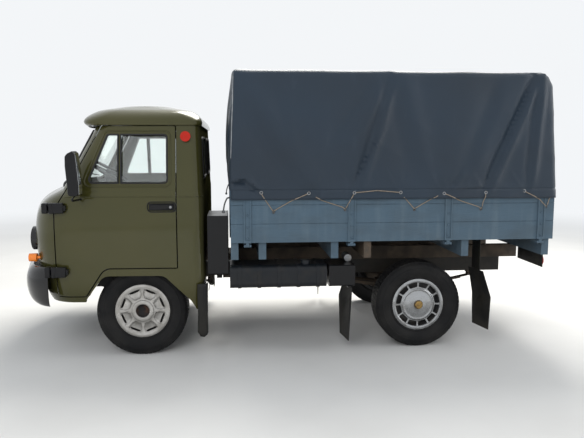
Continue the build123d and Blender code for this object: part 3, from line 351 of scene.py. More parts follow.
black_gloss = Finish("bumper_black_gloss", (0.004, 0.004, 0.005), 0.2, coat_weight=0.5,
                     coat_roughness=0.03, specular_ior_level=0.3)
black_gloss.grain(300, 0.0001).edges(0.004).dust(0.62, 0.35, (0.10, 0.09, 0.07), rough=0.6)
black_plastic = Finish("black_satin_plastic", (0.005, 0.005, 0.006), 0.28, specular_ior_level=0.3)
black_plastic.grain(900, 0.00015).edges(0.003)
rubber_seal = Finish("window_rubber", (0.010, 0.010, 0.011), 0.55).grain(600, 0.0001)

chassis_paint = Finish("chassis_black", CHASSIS, 0.45, specular_ior_level=0.25)
chassis_paint.tones((0.020, 0.017, 0.014), 7, 0.42, 0.75, detail=8, bump=0.0006)
chassis_paint.edges(0.003, wear=0.5, bare=(0.06, 0.035, 0.02)).dust(0.95, 0.55, DIRT)
dirty_steel = Finish("undercarriage_dirt", (0.030, 0.023, 0.017), 0.8)
dirty_steel.tones((0.075, 0.055, 0.038), 9, 0.4, 0.7, detail=8, bump=0.0012)
dirty_steel.edges(0.004).dust(1.0, 0.5, (0.13, 0.10, 0.07))
tank_black = Finish("tank_black", (0.007, 0.009, 0.012), 0.35, specular_ior_level=0.3)
tank_black.tones((0.017, 0.016, 0.015), 11, 0.5, 0.8, detail=7).edges(0.004).dust(0.8, 0.45, DARK_DIRT)

beam_wood = Finish("bed_beam_wood", (0.085, 0.060, 0.040), 0.7)
beam_wood.tones((0.050, 0.040, 0.030), 3, 0.35, 0.7, stretch=(9, 0.7, 9), detail=5)
beam_wood.grain(12, 0.0012, stretch=(12, 1, 12), detail=6).edges(0.004).dust(1.1, 0.6, DIRT)
floor_wood = Finish("bed_floor_wood", (0.105, 0.085, 0.058), 0.7)
floor_wood.tones((0.060, 0.048, 0.034), 3, 0.35, 0.7, stretch=(0.7, 9, 9), detail=8, bump=0.0012)
floor_wood.edges(0.002)
hoop_steel = Finish("tilt_hoop_paint", (0.045, 0.050, 0.032), 0.5)
hoop_steel.tones((0.10, 0.055, 0.03), 25, 0.62, 0.75, detail=8, bump=0.0004)

tyre_rubber = Finish("tyre_rubber", (0.0075, 0.0075, 0.008), 0.6, specular_ior_level=0.2)
tyre_rubber.tones((0.018, 0.017, 0.016), 6, 0.4, 0.75, detail=6).grain(300, 0.0003)
flap_rubber = Finish("mud_flap_rubber", (0.007, 0.007, 0.007), 0.5, specular_ior_level=0.3)
flap_rubber.tones((0.022, 0.020, 0.014), 5, 0.5, 0.8, stretch=(1, 1, 0.5), detail=7)
flap_rubber.grain(60, 0.0008).dust(0.5, 0.3, DARK_DIRT)

cover_silver = Finish("wheel_cover_silver", (0.50, 0.485, 0.46), 0.27, 0.85, coat_weight=0.4,
                      coat_roughness=0.1)
cover_silver.tones((0.36, 0.345, 0.32), 16, 0.45, 0.75, detail=7).grain(500, 0.0001)
cover_silver.edges(0.002).dust(0.9, 0.4, BRAKE_DUST, scale=14)
cover_chrome = Finish("wheel_cover_chrome", (0.40, 0.41, 0.42), 0.2, 1.0)
cover_chrome.tones((0.28, 0.285, 0.29), 14, 0.45, 0.75, detail=7).grain(500, 0.0001)
cover_chrome.edges(0.002).dust(0.9, 0.3, BRAKE_DUST, scale=14)
rusty_hub = Finish("hub_rust", (0.012, 0.010, 0.010), 0.7, 0.2)
rusty_hub.tones((0.085, 0.038, 0.02), 22, 0.5, 0.75, detail=8, bump=0.0012)
rim_steel = Finish("rim_dark_steel", (0.030, 0.031, 0.033), 0.5, 0.3)
rim_steel.tones((0.060, 0.052, 0.044), 18, 0.4, 0.8, detail=7).edges(0.003)
hub_boss = Finish("cover_centre_brass", (0.42, 0.27, 0.09), 0.35, 0.9)
hub_boss.tones((0.20, 0.13, 0.06), 50, 0.4, 0.7).grain(400, 0.0002)

zinc = Finish("zinc_fittings", (0.30, 0.31, 0.32), 0.42, 0.85).tones((0.22, 0.20, 0.18), 60, 0.45, 0.7)
hook_steel = Finish("hook_steel", (0.11, 0.115, 0.12), 0.45, 0.6).tones((0.07, 0.06, 0.05), 60, 0.45, 0.7)
# Pale grey of the strips down the tilt's front corners: a painted highlight of the lit cloth there
corner_highlight_paint = Finish("tilt_corner_painted_highlight", (0.30, 0.31, 0.31), 0.6).tones((0.20, 0.21, 0.22), 20)
rope_fibre = Finish("lashing_rope", (0.27, 0.22, 0.17), 0.85).tones((0.20, 0.16, 0.12), 40, 0.4, 0.7)

clear_glass = glass("window_glass", (0.90, 0.95, 0.93))
lens_glass = glass("headlamp_lens_glass", (0.95, 0.96, 0.97))
red_lens = Finish("red_lamp_lens", (0.42, 0.014, 0.005), 0.25, coat_weight=0.15, coat_roughness=0.05,
                  specular_ior_level=0.2).grain(160, 0.0006)
amber_lens = Finish("amber_lamp_lens", (0.80, 0.20, 0.012), 0.2, coat_weight=0.5, coat_roughness=0.04,
                    emission_color=(0.9, 0.26, 0.02, 1), emission_strength=0.06).grain(160, 0.0006)
reflector = Finish("lamp_reflector", (0.80, 0.80, 0.82), 0.12, 1.0).grain(80, 0.0004)
mirror_glass = Finish("mirror_glass", (0.86, 0.87, 0.88), 0.02, 1.0).tones((0.80, 0.81, 0.83), 3)

seat_cloth = Finish("seat_cover_cloth", (0.44, 0.44, 0.43), 0.85, sheen_weight=0.3)
seat_cloth.tones((0.36, 0.36, 0.36), 8, 0.4, 0.7).weave(0.0035, 0.0004)
cab_trim = Finish("cab_trim_grey", (0.060, 0.062, 0.064), 0.6)
cab_trim.tones((0.045, 0.047, 0.05), 6).grain(500, 0.0003).edges(0.004)
cab_mat = Finish("engine_cover_mat", (0.020, 0.020, 0.021), 0.85)
cab_mat.tones((0.035, 0.033, 0.03), 12, bump=0.001).edges(0.008)
wheel_plastic = Finish("steering_wheel_plastic", (0.012, 0.012, 0.013), 0.35).grain(700, 0.0002)
stone_floor = Finish("studio_floor", (0.70, 0.69, 0.67), 0.9).tones((0.66, 0.65, 0.63), 0.8, detail=6)

NODE_FINISHES = {
    cab_paint: "cab_front cab_roof door_left door_right",
    bed_paint: "side_board_left side_board_right tailgate board_hinges",
    black_gloss: "bumper",
    black_plastic: "door_hinge_brackets side_boxes",
    chassis_paint: "frame exhaust controls",
    dirty_steel: "front_axle rear_axle knuckle_left knuckle_right tie_rod leaf_springs drivetrain",
    tank_black: "fuel_tank",
    clear_glass: "cab_glass door_glass_left door_glass_right",
    red_lens: "red_lamps",
    amber_lens: "turn_lamps",
    cab_trim: "dashboard cab_floor",
    wheel_plastic: "steering_wheel",
}


def dress_nodes():
    """Gives each CAD node that stays its finish."""
    for finish, names in NODE_FINISHES.items():
        for piece in (nodes[name] for name in names.split()):
            if not piece.material_slots:
                piece.data.materials.append(finish.material)
            for slot in piece.material_slots:
                slot.material = finish.material


# Studio: soft panels with their place, what they face, size, power and colour
BACKGROUND = (0.90, 0.92, 0.94, 1)
PANELS = {
    "sky_panel": ((1.2, 3.2, 6.5), (0, -0.4, 0.6), 5.0, 800, (1.0, 0.98, 0.93)),
    "side_panel": ((-2.6, -8.0, 4.2), (-0.2, 0, 1.0), 5.0, 330, (0.95, 0.97, 1.0)),
    "tail_panel": ((7.5, -1.5, 3.6), (0.5, 0, 1.2), 4.0, 170, (1, 1, 1)),
}


def background_rays(tree):
    """A node that is 1 for the rays that show the background: the camera's, metal's and glass's."""
    rays = add_node(tree, "LightPath")
    seen = rays.outputs["Is Camera Ray"]
    for label in ("Is Glossy Ray", "Is Transmission Ray"):
        either = add_node(tree, "Math", {"operation": "MAXIMUM"})
        tree.links.new(seen, either.inputs[0])
        tree.links.new(rays.outputs[label], either.inputs[1])
        seen = either.outputs[0]
    return either


def add_lights():
    for name, (place, target, size, power, colour) in PANELS.items():
        data = bpy.data.lights.new(name, "AREA")
        data.size = size
        data.energy = power
        data.color = colour
        panel = linked(name, data)
        panel.location = place
        panel.rotation_euler = (Vector(target) - Vector(place)).to_track_quat("-Z", "Y").to_euler()
        panel.visible_glossy = name != "side_panel"
    scene.view_settings.view_transform = "Standard"
    scene.world = bpy.data.worlds.new("studio")
    scene.world.use_nodes = True
    tree = scene.world.node_tree
    tree.nodes.clear()
    wire(tree, {"rays": background_rays(tree)}, {
        "out": ("OutputWorld",), "mix": ("MixShader",), "shown": ("Background", {"Color": BACKGROUND}),
        "ambient": ("Background", {"Color": (0.90, 0.95, 1.0, 1), "Strength": 0.62})}, """
        rays.0 > mix.Fac
        ambient.0 > mix.1
        shown.0 > mix.2
        mix.0 > out.Surface""")


def add_floor():
    """Pale floor that turns into the background's colour far from the truck."""
    tree = stone_floor.tree
    parts = {"rays": background_rays(tree), "shader": stone_floor.shader,
             "out": tree.nodes["Material Output"]}
    wire(tree, parts, {
        "place": ("TexCoord",), "reach": ("VectorMath", {"operation": "LENGTH"}),
        "far": ("MapRange", {"From Min": 4.5, "From Max": 13.0, "interpolation_type": "SMOOTHSTEP"}),
        "shown": ("Math", MULTIPLY), "glow": ("Emission", {"Color": BACKGROUND}),
        "mix": ("MixShader",)}, """
        place.Object > reach.0
        reach.Value > far.Value
        far.Result > shown.0
        rays.0 > shown.1
        shown.0 > mix.Fac
        shader.0 > mix.1
        glow.0 > mix.2
        mix.0 > out.Surface""")
    bm = bmesh.new()
    bmesh.ops.create_circle(bm, cap_ends=True, segments=64, radius=60)
    mesh = bpy.data.meshes.new("studio_floor")
    bm.to_mesh(mesh)
    bm.free()
    mesh.materials.append(stone_floor.material)
    linked("studio_floor", mesh)


# Shapes that several pieces share
def flipped(bm):
    """The same shape on the truck's other side."""
    other = bm.copy()
    bmesh.ops.scale(other, vec=(1, -1, 1), verts=other.verts)
    bmesh.ops.reverse_faces(other, faces=other.faces)
    return other


def joined(bm, other):
    """Adds the other shape to bm and frees it."""
    mesh = bpy.data.meshes.new("joining")
    other.to_mesh(mesh)
    other.free()
    bm.from_mesh(mesh)
    bpy.data.meshes.remove(mesh)
    return bm


def placed(bm, place, degrees=0.0):
    """Turns a shape about Y and moves it."""
    turn = Matrix.Rotation(math.radians(degrees), 4, "Y")
    bmesh.ops.transform(bm, matrix=Matrix.Translation(place) @ turn, verts=bm.verts)
    return bm


def finish_piece(name, bm, finish, body, slot, replaces=(), angle=35):
    """Makes the object of a finished bmesh, in place, and hangs it on its body."""
    mesh = bpy.data.meshes.new(name)
    bm.to_mesh(mesh)
    bm.free()
    for polygon in mesh.polygons:
        polygon.use_smooth = True
    mesh.set_sharp_from_angle(angle=math.radians(angle))
    mesh.materials.append(finish.material)
    piece = linked(name, mesh)
    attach(piece, body)
    if replaces:
        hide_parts(*replaces)
    return piece


def finish_both(name, bm, finish, body, slot, angle=35):
    """One piece of a left-hand shape and its flipped self."""
    return finish_piece(name, joined(bm, flipped(bm)), finish, body, slot, angle=angle)


def finish_pair(name, bm, finish, body, slot, angle=35):
    """A left and a right piece of a left-hand shape, each on its own side's body or on the chassis."""
    pair = []
    for side in SIDES:
        shape = bm.copy() if side == "left" else flipped(bm)
        own_body = body if body == "chassis" else f"{body}_{side}"
        pair.append(finish_piece(f"{name}_{side}", shape, finish, own_body, slot, angle=angle))
    bm.free()
    return pair


def thicken(piece, thickness):
    """Gives a sheet its thickness, inwards."""
    wall = piece.modifiers.new("thickness", "SOLIDIFY")
    wall.thickness = thickness
    wall.offset = -1.0


def tube(runs, radius, cyclic=False, kind="NURBS", sides=3):
    """Round bars along lines of points, as one shape."""
    curve = bpy.data.curves.new("run", "CURVE")
    curve.dimensions = "3D"
    curve.bevel_depth = radius
    curve.bevel_resolution = sides
    curve.use_fill_caps = not cyclic
    curve.resolution_u = 6
    for run in runs:
        spline = curve.splines.new(kind)
        spline.points.add(len(run) - 1)
        for point, place in zip(spline.points, run):
            point.co = (*place, 1)
        if kind == "NURBS":
            spline.order_u = 3
            spline.use_endpoint_u = not cyclic
        spline.use_cyclic_u = cyclic
    holder = linked("run", curve)
    mesh = bpy.data.meshes.new_from_object(holder.evaluated_get(bpy.context.evaluated_depsgraph_get()))
    bm = bmesh.new()
    bm.from_mesh(mesh)
    bpy.data.meshes.remove(mesh)
    bpy.data.objects.remove(holder)
    bpy.data.curves.remove(curve)
    bmesh.ops.remove_doubles(bm, verts=bm.verts, dist=1e-5)
    bmesh.ops.recalc_face_normals(bm, faces=bm.faces)
    return bm


def round_edges(bm, edges, radius, segments=3):
    bmesh.ops.bevel(bm, geom=edges, offset=radius, segments=segments, profile=0.5, affect="EDGES",
                    material=-1)


def slab(low, high, radius, segments=3):
    """A box between two corners with rounded edges."""
    low, high = Vector(low), Vector(high)
    bm = bmesh.new()
    size = Matrix.Diagonal((*(high - low), 1))
    bmesh.ops.create_cube(bm, size=1.0, matrix=Matrix.Translation((low + high) / 2) @ size)
    round_edges(bm, bm.edges, radius, segments)
    return bm


def lathe(profile, centre, axis, steps):
    """A closed profile of (radius, distance along the axis) spun round an axis of the frame."""
    turn = {"x": Matrix.Identity(4), "y": Matrix.Rotation(math.radians(90), 4, "Z"),
            "z": Matrix.Rotation(math.radians(-90), 4, "Y")}[axis]
    bm = bmesh.new()
    ring = [bm.verts.new((along, 0, radius)) for radius, along in profile]
    edges = [bm.edges.new((ring[i], ring[(i + 1) % len(ring)])) for i in range(len(ring))]
    bmesh.ops.spin(bm, geom=ring + edges, cent=(0, 0, 0), axis=(1, 0, 0), angle=2 * math.pi, steps=steps,
                   use_merge=True)
    bmesh.ops.remove_doubles(bm, verts=bm.verts, dist=1e-6)
    bmesh.ops.recalc_face_normals(bm, faces=bm.faces)
    bmesh.ops.transform(bm, matrix=Matrix.Translation(centre) @ turn, verts=bm.verts)
    return bm


def cut_level(bm, z):
    """Adds edges where a level plane cuts a shape."""
    bmesh.ops.bisect_plane(bm, geom=bm.verts[:] + bm.edges[:] + bm.faces[:], dist=1e-5, plane_co=(0, 0, z),
                           plane_no=(0, 0, 1))


def dressed_copy(node, body, slot, finishes, choose=None, shape=None, angle=30):
    """Stands for a node in several finishes; choose(place, normal) says which one a face has."""
    bm = bmesh.new()
    bm.from_mesh(nodes[node].data)
    bmesh.ops.transform(bm, matrix=nodes[node].matrix_world, verts=bm.verts)
    bmesh.ops.remove_doubles(bm, verts=bm.verts, dist=1e-5)
    if shape:
        shape(bm)
    bm.normal_update()
    for face in bm.faces:
        face.material_index = choose(face.calc_center_median(), face.normal) if choose else 0
    piece = finish_piece(f"{node}_dressed", bm, finishes[0], body, slot, (node,), angle)
    for finish in finishes[1:]:
        piece.data.materials.append(finish.material)


def surface(*names):
    """What rays meet on these nodes."""
    points, faces = [], []
    for name in names:
        mesh, place = nodes[name].data, nodes[name].matrix_world
        first = len(points)
        points += [place @ vertex.co for vertex in mesh.vertices]
        faces += [[first + i for i in polygon.vertices] for polygon in mesh.polygons]
    return BVHTree.FromPolygons(points, faces)


FAR_SIDE = -1.3          # where rays start beside the truck, and before it
TO_RIGHT, TO_TAIL, TO_NOSE = (0, 1, 0), (1, 0, 0), (-1, 0, 0)


def landed(tree, start, direction, lift):
    """A point on what a ray meets, lifted back towards where it came from."""
    direction = Vector(direction)
    hit = tree.ray_cast(Vector(start), direction)
    return hit[0] - direction * lift if hit[0] else None


def on_side(tree, x, z, lift=0.0):
    """A point on the left side, at a distance behind the front axle and a height."""
    return landed(tree, (axle_x(x), FAR_SIDE, z), TO_RIGHT, lift)


def rounded(corners, radii, spacing=0.03):
    """Points along a closed flat outline with rounded corners."""
    points = []
    count = len(corners)
    for i, radius in enumerate(radii):
        corner = Vector(corners[i])
        before = (Vector(corners[i - 1]) - corner).normalized()
        after = (Vector(corners[(i + 1) % count]) - corner).normalized()
        half = before.angle(after) / 2
        reach = radius / math.tan(half)
        centre = corner + (before + after).normalized() * (radius / math.sin(half))
        start = corner + before * reach - centre
        end = corner + after * reach - centre
        points += [centre + start.lerp(end, k / 5).normalized() * radius for k in range(6)]
    outline = []
    for i, point in enumerate(points):
        following = points[(i + 1) % len(points)]
        steps = max(1, round((following - point).length / spacing))
        outline += [point.lerp(following, k / steps) for k in range(steps)]
    return outline


def rubber_loop(outline, to_place, radius):
    """A round bead along an outline, whose points to_place() puts on the truck."""
    points = [to_place(point) for point in rounded(*outline)]
    return tube([[point for point in points if point]], radius, cyclic=True, kind="POLY", sides=2)


def by_table(value, pairs):
    """Reads a value off a table of pairs, in straight lines between them."""
    for (low, shown_low), (high, shown_high) in zip(pairs, pairs[1:]):
        if value <= high:
            return shown_low + (value - low) / (high - low) * (shown_high - shown_low)
    return value + pairs[-1][1] - pairs[-1][0]


# Tilt: one tarpaulin over the hoops
TILT_BOTTOM = 1.283
SKIRT_TOP = 1.3607       # level of the boards' top, where the loose skirt begins
SEAM_LEVELS = (1.3480, 1.3570, SKIRT_TOP, 1.3650, 1.3720)
TILT_EAVES = 2.292
TILT_CROWN = 0.060       # how much higher the roof's middle is
# Walls: place at the level where they are measured, and how that changes by a metre of height
WALL_LEVEL = 1.300
FRONT_WALL = (0.706, 0.0389)
BACK_WALL = (3.400, -0.052)
SIDE_WALL = (1.005, -0.0496)
BACK_BEND, BACK_SLOPE = 2.190, 0.60       # above this level the back wall slopes inwards
TILT_BLANK = Vector((2.65, 1.98, 1.02))   # length, width and height before it is fitted
TILT_CELL = 0.020
SKIRT_ENDS = (0.722, 3.372)
SKIRT_JOINTS = {"left": "side_board_left_hinge", "right": "side_board_right_hinge",
                "rear": "tailgate_hinge"}
HOOPS = [axle_x(x) for x in (0.765, 1.380, 1.990, 2.600, 3.205)]
GROMMETS = ((0.964, 1.340), (1.340, 1.333), (1.705, 1.334), (2.080, 1.335), (2.439, 1.324), (2.788, 1.329),
            (3.112, 1.340))
# Folds of a side, measured in the photograph: from and to as distance behind the front axle and height,
# then width and depth
FOLDS = (
    ((2.005, 2.200), (1.750, 1.395), 0.040, 0.018),
    ((1.905, 1.800), (1.708, 1.394), 0.017, 0.010),
    ((1.905, 2.160), (1.560, 1.700), 0.090, 0.014),
    ((0.809, 2.138), (1.346, 1.337), 0.110, 0.020),
    ((0.733, 1.420), (0.833, 1.439), 0.022, 0.019),
    ((0.833, 1.439), (0.952, 1.348), 0.022, 0.019),
    ((3.208, 2.260), (2.812, 1.369), 0.040, 0.023),
    ((3.190, 2.240), (2.782, 1.380), 0.015, 0.009),
    ((3.235, 2.241), (3.158, 1.409), 0.038, 0.015),
    ((2.594, 1.495), (2.503, 1.370), 0.024, 0.007),
    ((2.450, 1.345), (2.780, 1.372), 0.020, 0.006),
    ((1.120, 2.200), (1.200, 1.700), 0.050, 0.004),
    ((2.050, 2.240), (2.220, 1.560), 0.100, 0.012),
    ((2.900, 2.150), (2.640, 1.500), 0.080, 0.009),
)
# Folds of the front and back walls: from and to as distance across and height, then width and depth
END_FOLDS = (
    ((-0.900, 2.230), (-0.300, 1.420), 0.060, 0.010),
    ((0.900, 2.230), (0.360, 1.420), 0.060, 0.010),
    ((-0.930, 1.900), (-0.700, 1.380), 0.035, 0.008),
    ((0.930, 1.900), (0.720, 1.380), 0.035, 0.008),
    ((-0.100, 2.200), (0.050, 1.500), 0.070, 0.006),
)
FOLD_PAST, FOLD_FADE = 0.2, 0.35       # shares of its length that a fold runs on, and fades over
FOLD_PEAK = 2.3                        # makes the ridge as high as the fold's depth
RIPPLE, CRUMPLE, CREASE = 0.005, 0.0025, 0.003         # heights of the cloth's unevenness
ROOF_SAG, SIDE_SAG = 0.005, 0.008                      # half way between two hoops
BULGE, BULGE_FOOT, BULGE_HEIGHT = 0.034, 1.38, 0.90       # of the front wall
HEM_TOP, HEM_HEIGHT, HEM_PITCH = 1.42, 0.12, 0.366        # where the hem's waves are, and their length
HEM_WAVE = 0.003
GATHERS = (-0.10, 0.02, 0.12)          # how far the small folds above an eyelet lean along the truck
GATHER_HEIGHT, GATHER_WIDTH, GATHER_DEPTH = 0.16, 0.012, 0.0035
CORNER_RADIUS = 0.040
CLOTH_THICKNESS = 0.0025
# Seam at the boards' top: half its height, how deep it is, and how far the skirt below stands out
SEAM_HALF, SEAM_DEPTH, SKIRT_LIFT = 0.0045, 0.0025, 0.0015


def leaning(wall, z):
    return wall[0] + wall[1] * (z - WALL_LEVEL)


def tilt_place(along, across, up):
    """A point of the stretched tarpaulin: 0 to 1 from the front, -1 to 1 across and 0 to 1 up."""
    eaves = TILT_EAVES + TILT_CROWN * (1 - across * across)
    z = TILT_BOTTOM + up * (eaves - TILT_BOTTOM)
    front = leaning(FRONT_WALL, z)
    back = leaning(BACK_WALL, z) - BACK_SLOPE * max(z - BACK_BEND, 0)
    return Vector((axle_x(front + along * (back - front)), across * leaning(SIDE_WALL, z), z))


def fold_height(u, v, fold):
    """Height of one fold at a place on the flat wall: a ridge with a hollow beside it."""
    start, end, width, depth = fold
    run = Vector(end) - Vector(start)
    offset = Vector((u, v)) - Vector(start)
    share = offset.dot(run) / run.length_squared
    if not -FOLD_PAST < share < 1 + FOLD_PAST:
        return 0.0
    side = (run.x * offset.y - run.y * offset.x) / run.length / width
    fade = min((share + FOLD_PAST) / FOLD_FADE, 1) * min((1 + FOLD_PAST - share) / FOLD_FADE, 1)
    return FOLD_PEAK * depth * fade * side * math.exp(-side * side)


def between_hoops(x):
    """0 at a hoop and 1 half way to the next."""
    for start, end in zip(HOOPS, HOOPS[1:]):
        if start <= x <= end:
            return math.sin(math.pi * (x - start) / (end - start)) ** 2
    return 0.0


def cloth_height(place, normal):
    """How far the loose cloth stands off its stretched shape."""
    slack = between_hoops(place.x)
    ripple = noise.noise(place * 1.9) * RIPPLE
    crumple = noise.noise(Vector((place.x * 7, place.y * 7, place.z * 3.2))) * CRUMPLE
    sharp = (1 - abs(noise.noise(place * 3.1 + Vector((4, 1, 7))))) ** 6 * CREASE
    behind = place.x - FRONT_AXLE
    if normal.z > 0.6:
        return slack * (-ROOF_SAG + 0.6 * ripple + 0.6 * crumple) + 0.0005
    height = 0.5 * ripple + crumple + sharp
    if abs(normal.x) > 0.6:
        height += sum(fold_height(place.y, place.z, fold) for fold in END_FOLDS) - 0.004
        if normal.x < 0:
            rise = min(max((place.z - BULGE_FOOT) / BULGE_HEIGHT, 0), 1)
            height += BULGE * math.sin(math.pi * rise) * (1 - place.y ** 4)
        return height
    height += sum(fold_height(behind, place.z, fold) for fold in FOLDS) - SIDE_SAG * slack
    for x, z in GROMMETS:
        for lean in GATHERS:
            gather = ((x, z), (x + lean, z + GATHER_HEIGHT), GATHER_WIDTH, GATHER_DEPTH)
            height += fold_height(behind, place.z, gather)
    low = max(0.0, (HEM_TOP - place.z) / HEM_HEIGHT)
    hem_wave = HEM_WAVE * (math.sin(behind * 2 * math.pi / HEM_PITCH + 1.1) + noise.noise(place * 9))
    return height * (1 - 0.6 * low) + low * hem_wave


def tarpaulin_cage():
    """The whole cloth, fitted to the hoops and folded, before it is parted into tilt and skirts."""
    bm = bmesh.new()
    bmesh.ops.create_cube(bm, size=1.0, matrix=Matrix.Diagonal((*TILT_BLANK, 1)))
    bottom = [face for face in bm.faces if face.normal.z < -0.9]
    bmesh.ops.delete(bm, geom=bottom, context="FACES_ONLY")
    corners = [edge for edge in bm.edges if not edge.is_boundary]
    round_edges(bm, corners, CORNER_RADIUS)
    for axis in range(3):
        runs = [edge for edge in bm.edges if abs(edge.verts[0].co[axis] - edge.verts[1].co[axis]) > 0.5]
        cuts = round(TILT_BLANK[axis] / TILT_CELL)
        bmesh.ops.subdivide_edges(bm, edges=runs, cuts=cuts, use_grid_fill=True)
    for vert in bm.verts:
        share = [vert.co[i] / TILT_BLANK[i] for i in range(3)]
        vert.co = tilt_place(share[0] + 0.5, share[1] * 2, share[2] + 0.5)
    for z in SEAM_LEVELS:
        cut_level(bm, z)
    bm.normal_update()
    moves = []
    for vert in bm.verts:
        lift = cloth_height(vert.co, vert.normal)
        if abs(vert.co.z - SKIRT_TOP) < SEAM_HALF:
            lift -= SEAM_DEPTH
        elif vert.co.z < SKIRT_TOP - 0.01:
            lift += SKIRT_LIFT
        moves.append(vert.normal * lift)
    for vert, move in zip(bm.verts, moves):
        vert.co += move
    lay_out_cloth(bm)
    return bm


def lay_out_cloth(bm):
    """A UV map in metres, each wall laid flat."""
    layer = bm.loops.layers.uv.verify()
    for face in bm.faces:
        ends = abs(face.normal.x) > 0.7
        roof = face.normal.z > 0.7
        for loop in face.loops:
            place = loop.vert.co
            loop[layer].uv = (place.y if ends else place.x, place.y if roof else place.z)


def part_of_cloth(place):
    """Which skirt a place below the boards' top is in, or the tilt above it."""
    if place.z > SKIRT_TOP:
        return "tilt"
    if place.x > axle_x(SKIRT_ENDS[1]):
        return "rear"
    if place.x > axle_x(SKIRT_ENDS[0]) and abs(place.y) > 0.9:
        return "right" if place.y > 0 else "left"
    return None


def cloth_piece(name, cage, part, replaces):
    """One part of the cloth, with its thickness."""
    bm = cage.copy()
    unwanted = [face for face in bm.faces if part_of_cloth(face.calc_center_median()) != part]
    bmesh.ops.delete(bm, geom=unwanted, context="FACES")
    piece = finish_piece(name, bm, tilt_canvas, "chassis", "tilt_cloth", replaces, angle=60)
    thicken(piece, CLOTH_THICKNESS)
    return piece


def add_tilt():
    """The tilt and its skirts. Gives what rays meet on the whole cloth."""
    cage = tarpaulin_cage()
    tilt = cloth_piece("tilt_tarpaulin", cage, "tilt", ("tilt_top", "tilt_sides", "tilt_ends"))
    for part, joint in SKIRT_JOINTS.items():
        skirt = cloth_piece(f"skirt_{part}_cloth", cage, part, (f"skirt_{part}",))
        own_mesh(skirt)
    cloth = BVHTree.FromBMesh(cage)
    cage.free()
    return cloth


BESIDE_CLOTH = 1.4       # how far across rays start that look for the cloth


def cloth_side(cloth, x, z, side):
    """Y of the cloth's outside at a place on a side wall."""
    hit = cloth.ray_cast(Vector((x, side * BESIDE_CLOTH, z)), Vector((0, -side, 0)))
    return hit[0].y if hit[0] else side * SIDE_WALL[0]


# Pale strip down the tilt's front corners, a painted highlight of the cloth lit at each corner: its top and
# length, how far behind the corner it runs, and its radius
HIGHLIGHT_TOP, HIGHLIGHT_LENGTH = 2.262, 0.655
HIGHLIGHT_BEHIND, HIGHLIGHT_RADIUS = 0.012, 0.0042


def add_corner_highlight_strip(cloth):
    """A pale strip down the front corners of both sides, a painted highlight of the lit cloth at each
    corner.
    """
    bm = bmesh.new()
    for side in SIDES.values():
        line = []
        for k in range(24):
            z = HIGHLIGHT_TOP - HIGHLIGHT_LENGTH * k / 23
            x = axle_x(leaning(FRONT_WALL, z) + HIGHLIGHT_BEHIND)
            line.append((x, cloth_side(cloth, x, z, side) + side * 0.0004, z))
        joined(bm, tube([line], HIGHLIGHT_RADIUS, kind="POLY", sides=1))
    finish_piece("tilt_corner_painted_highlight", bm, corner_highlight_paint, "chassis", "tilt_cloth", angle=60)


# Eyelet's section: radius, and distance inwards
EYELET = ((0.0075, -0.0018), (0.0095, -0.0028), (0.0130, -0.0022), (0.0145, 0.0004), (0.0145, 0.0028),
          (0.0075, 0.0028))


def add_grommets(cloth):
    """Metal eyelets along the hem of both sides."""
    bm = bmesh.new()
    for side in SIDES.values():
        for x, z in GROMMETS:
            place = Vector((axle_x(x), cloth_side(cloth, axle_x(x), z, side), z))
            joined(bm, lathe([(radius, along * -side) for radius, along in EYELET], place, "y", 20))
    bmesh.ops.recalc_face_normals(bm, faces=bm.faces)
    finish_piece("tilt_grommets", bm, zinc, "chassis", "bare_steel")


# Lashing rope, measured in the photograph: how a run starts, its points as distance behind the front axle
# and height, and how it ends. Between its ends it lies over what is there.
ROPE_RADIUS = 0.0036
ROPE_GAP = 0.0015
ROPE_STEP = 0.022
UNDER_CLOTH = -0.990
EYELET_DEPTH = 0.008
HOOKS = ((1.061, 1.195), (1.634, 1.209), (2.201, 1.205), (2.756, 1.204), (3.307, 1.216))
ROPE_RUNS = (
    ("through", ((0.964, 1.340), (0.972, 1.318), (1.046, 1.208), (1.061, 1.188), (1.078, 1.203),
                 (1.215, 1.280), (1.325, 1.326), (1.340, 1.333)), "through"),
    ("under", ((1.380, 1.312), (1.445, 1.275), (1.616, 1.218), (1.634, 1.201), (1.646, 1.220),
               (1.695, 1.316), (1.705, 1.334)), "through"),
    ("through", ((1.705, 1.334), (1.728, 1.337), (1.887, 1.352), (2.055, 1.337),
                 (2.080, 1.335)), "through"),
    ("under", ((2.090, 1.312), (2.129, 1.278), (2.185, 1.216), (2.201, 1.198), (2.218, 1.212),
               (2.339, 1.281), (2.400, 1.312)), "under"),
    ("through", ((2.439, 1.324), (2.462, 1.316), (2.590, 1.260), (2.738, 1.212), (2.756, 1.196),
                 (2.766, 1.216), (2.784, 1.310), (2.788, 1.329)), "through"),
    ("through", ((3.112, 1.340), (3.128, 1.330), (3.250, 1.270), (3.292, 1.226), (3.307, 1.209),
                 (3.322, 1.226), (3.340, 1.300), (3.345, 1.312)), "under"),
)
# Hook's plate as radius and distance along, where it sits on the board and how far below the bend, and its
# bend as Y and height from the hook's place
HOOK_PLATE = ((0.0, 0.0), (0.012, 0.0), (0.0105, -0.003), (0.0, -0.004))
PLATE_SIDE, PLATE_BELOW = -0.983, 0.012
HOOK_RADIUS = 0.0030
HOOK_BEND = ((-0.984, -0.012), (-0.9995, -0.014), (-1.0075, -0.008), (-1.008, 0.006), (-1.0055, 0.016))


def rope_point(trees, x, z, lies):
    if lies == "under":
        return Vector((axle_x(x), UNDER_CLOTH, z))
    start = Vector((axle_x(x), -BESIDE_CLOTH, z))
    hits = [tree.ray_cast(start, Vector(TO_RIGHT))[0] for tree in trees]
    outer = min(hit.y for hit in hits if hit)
    rope_y = outer + EYELET_DEPTH if lies == "through" else outer - ROPE_RADIUS - ROPE_GAP
    return Vector((axle_x(x), rope_y, z))


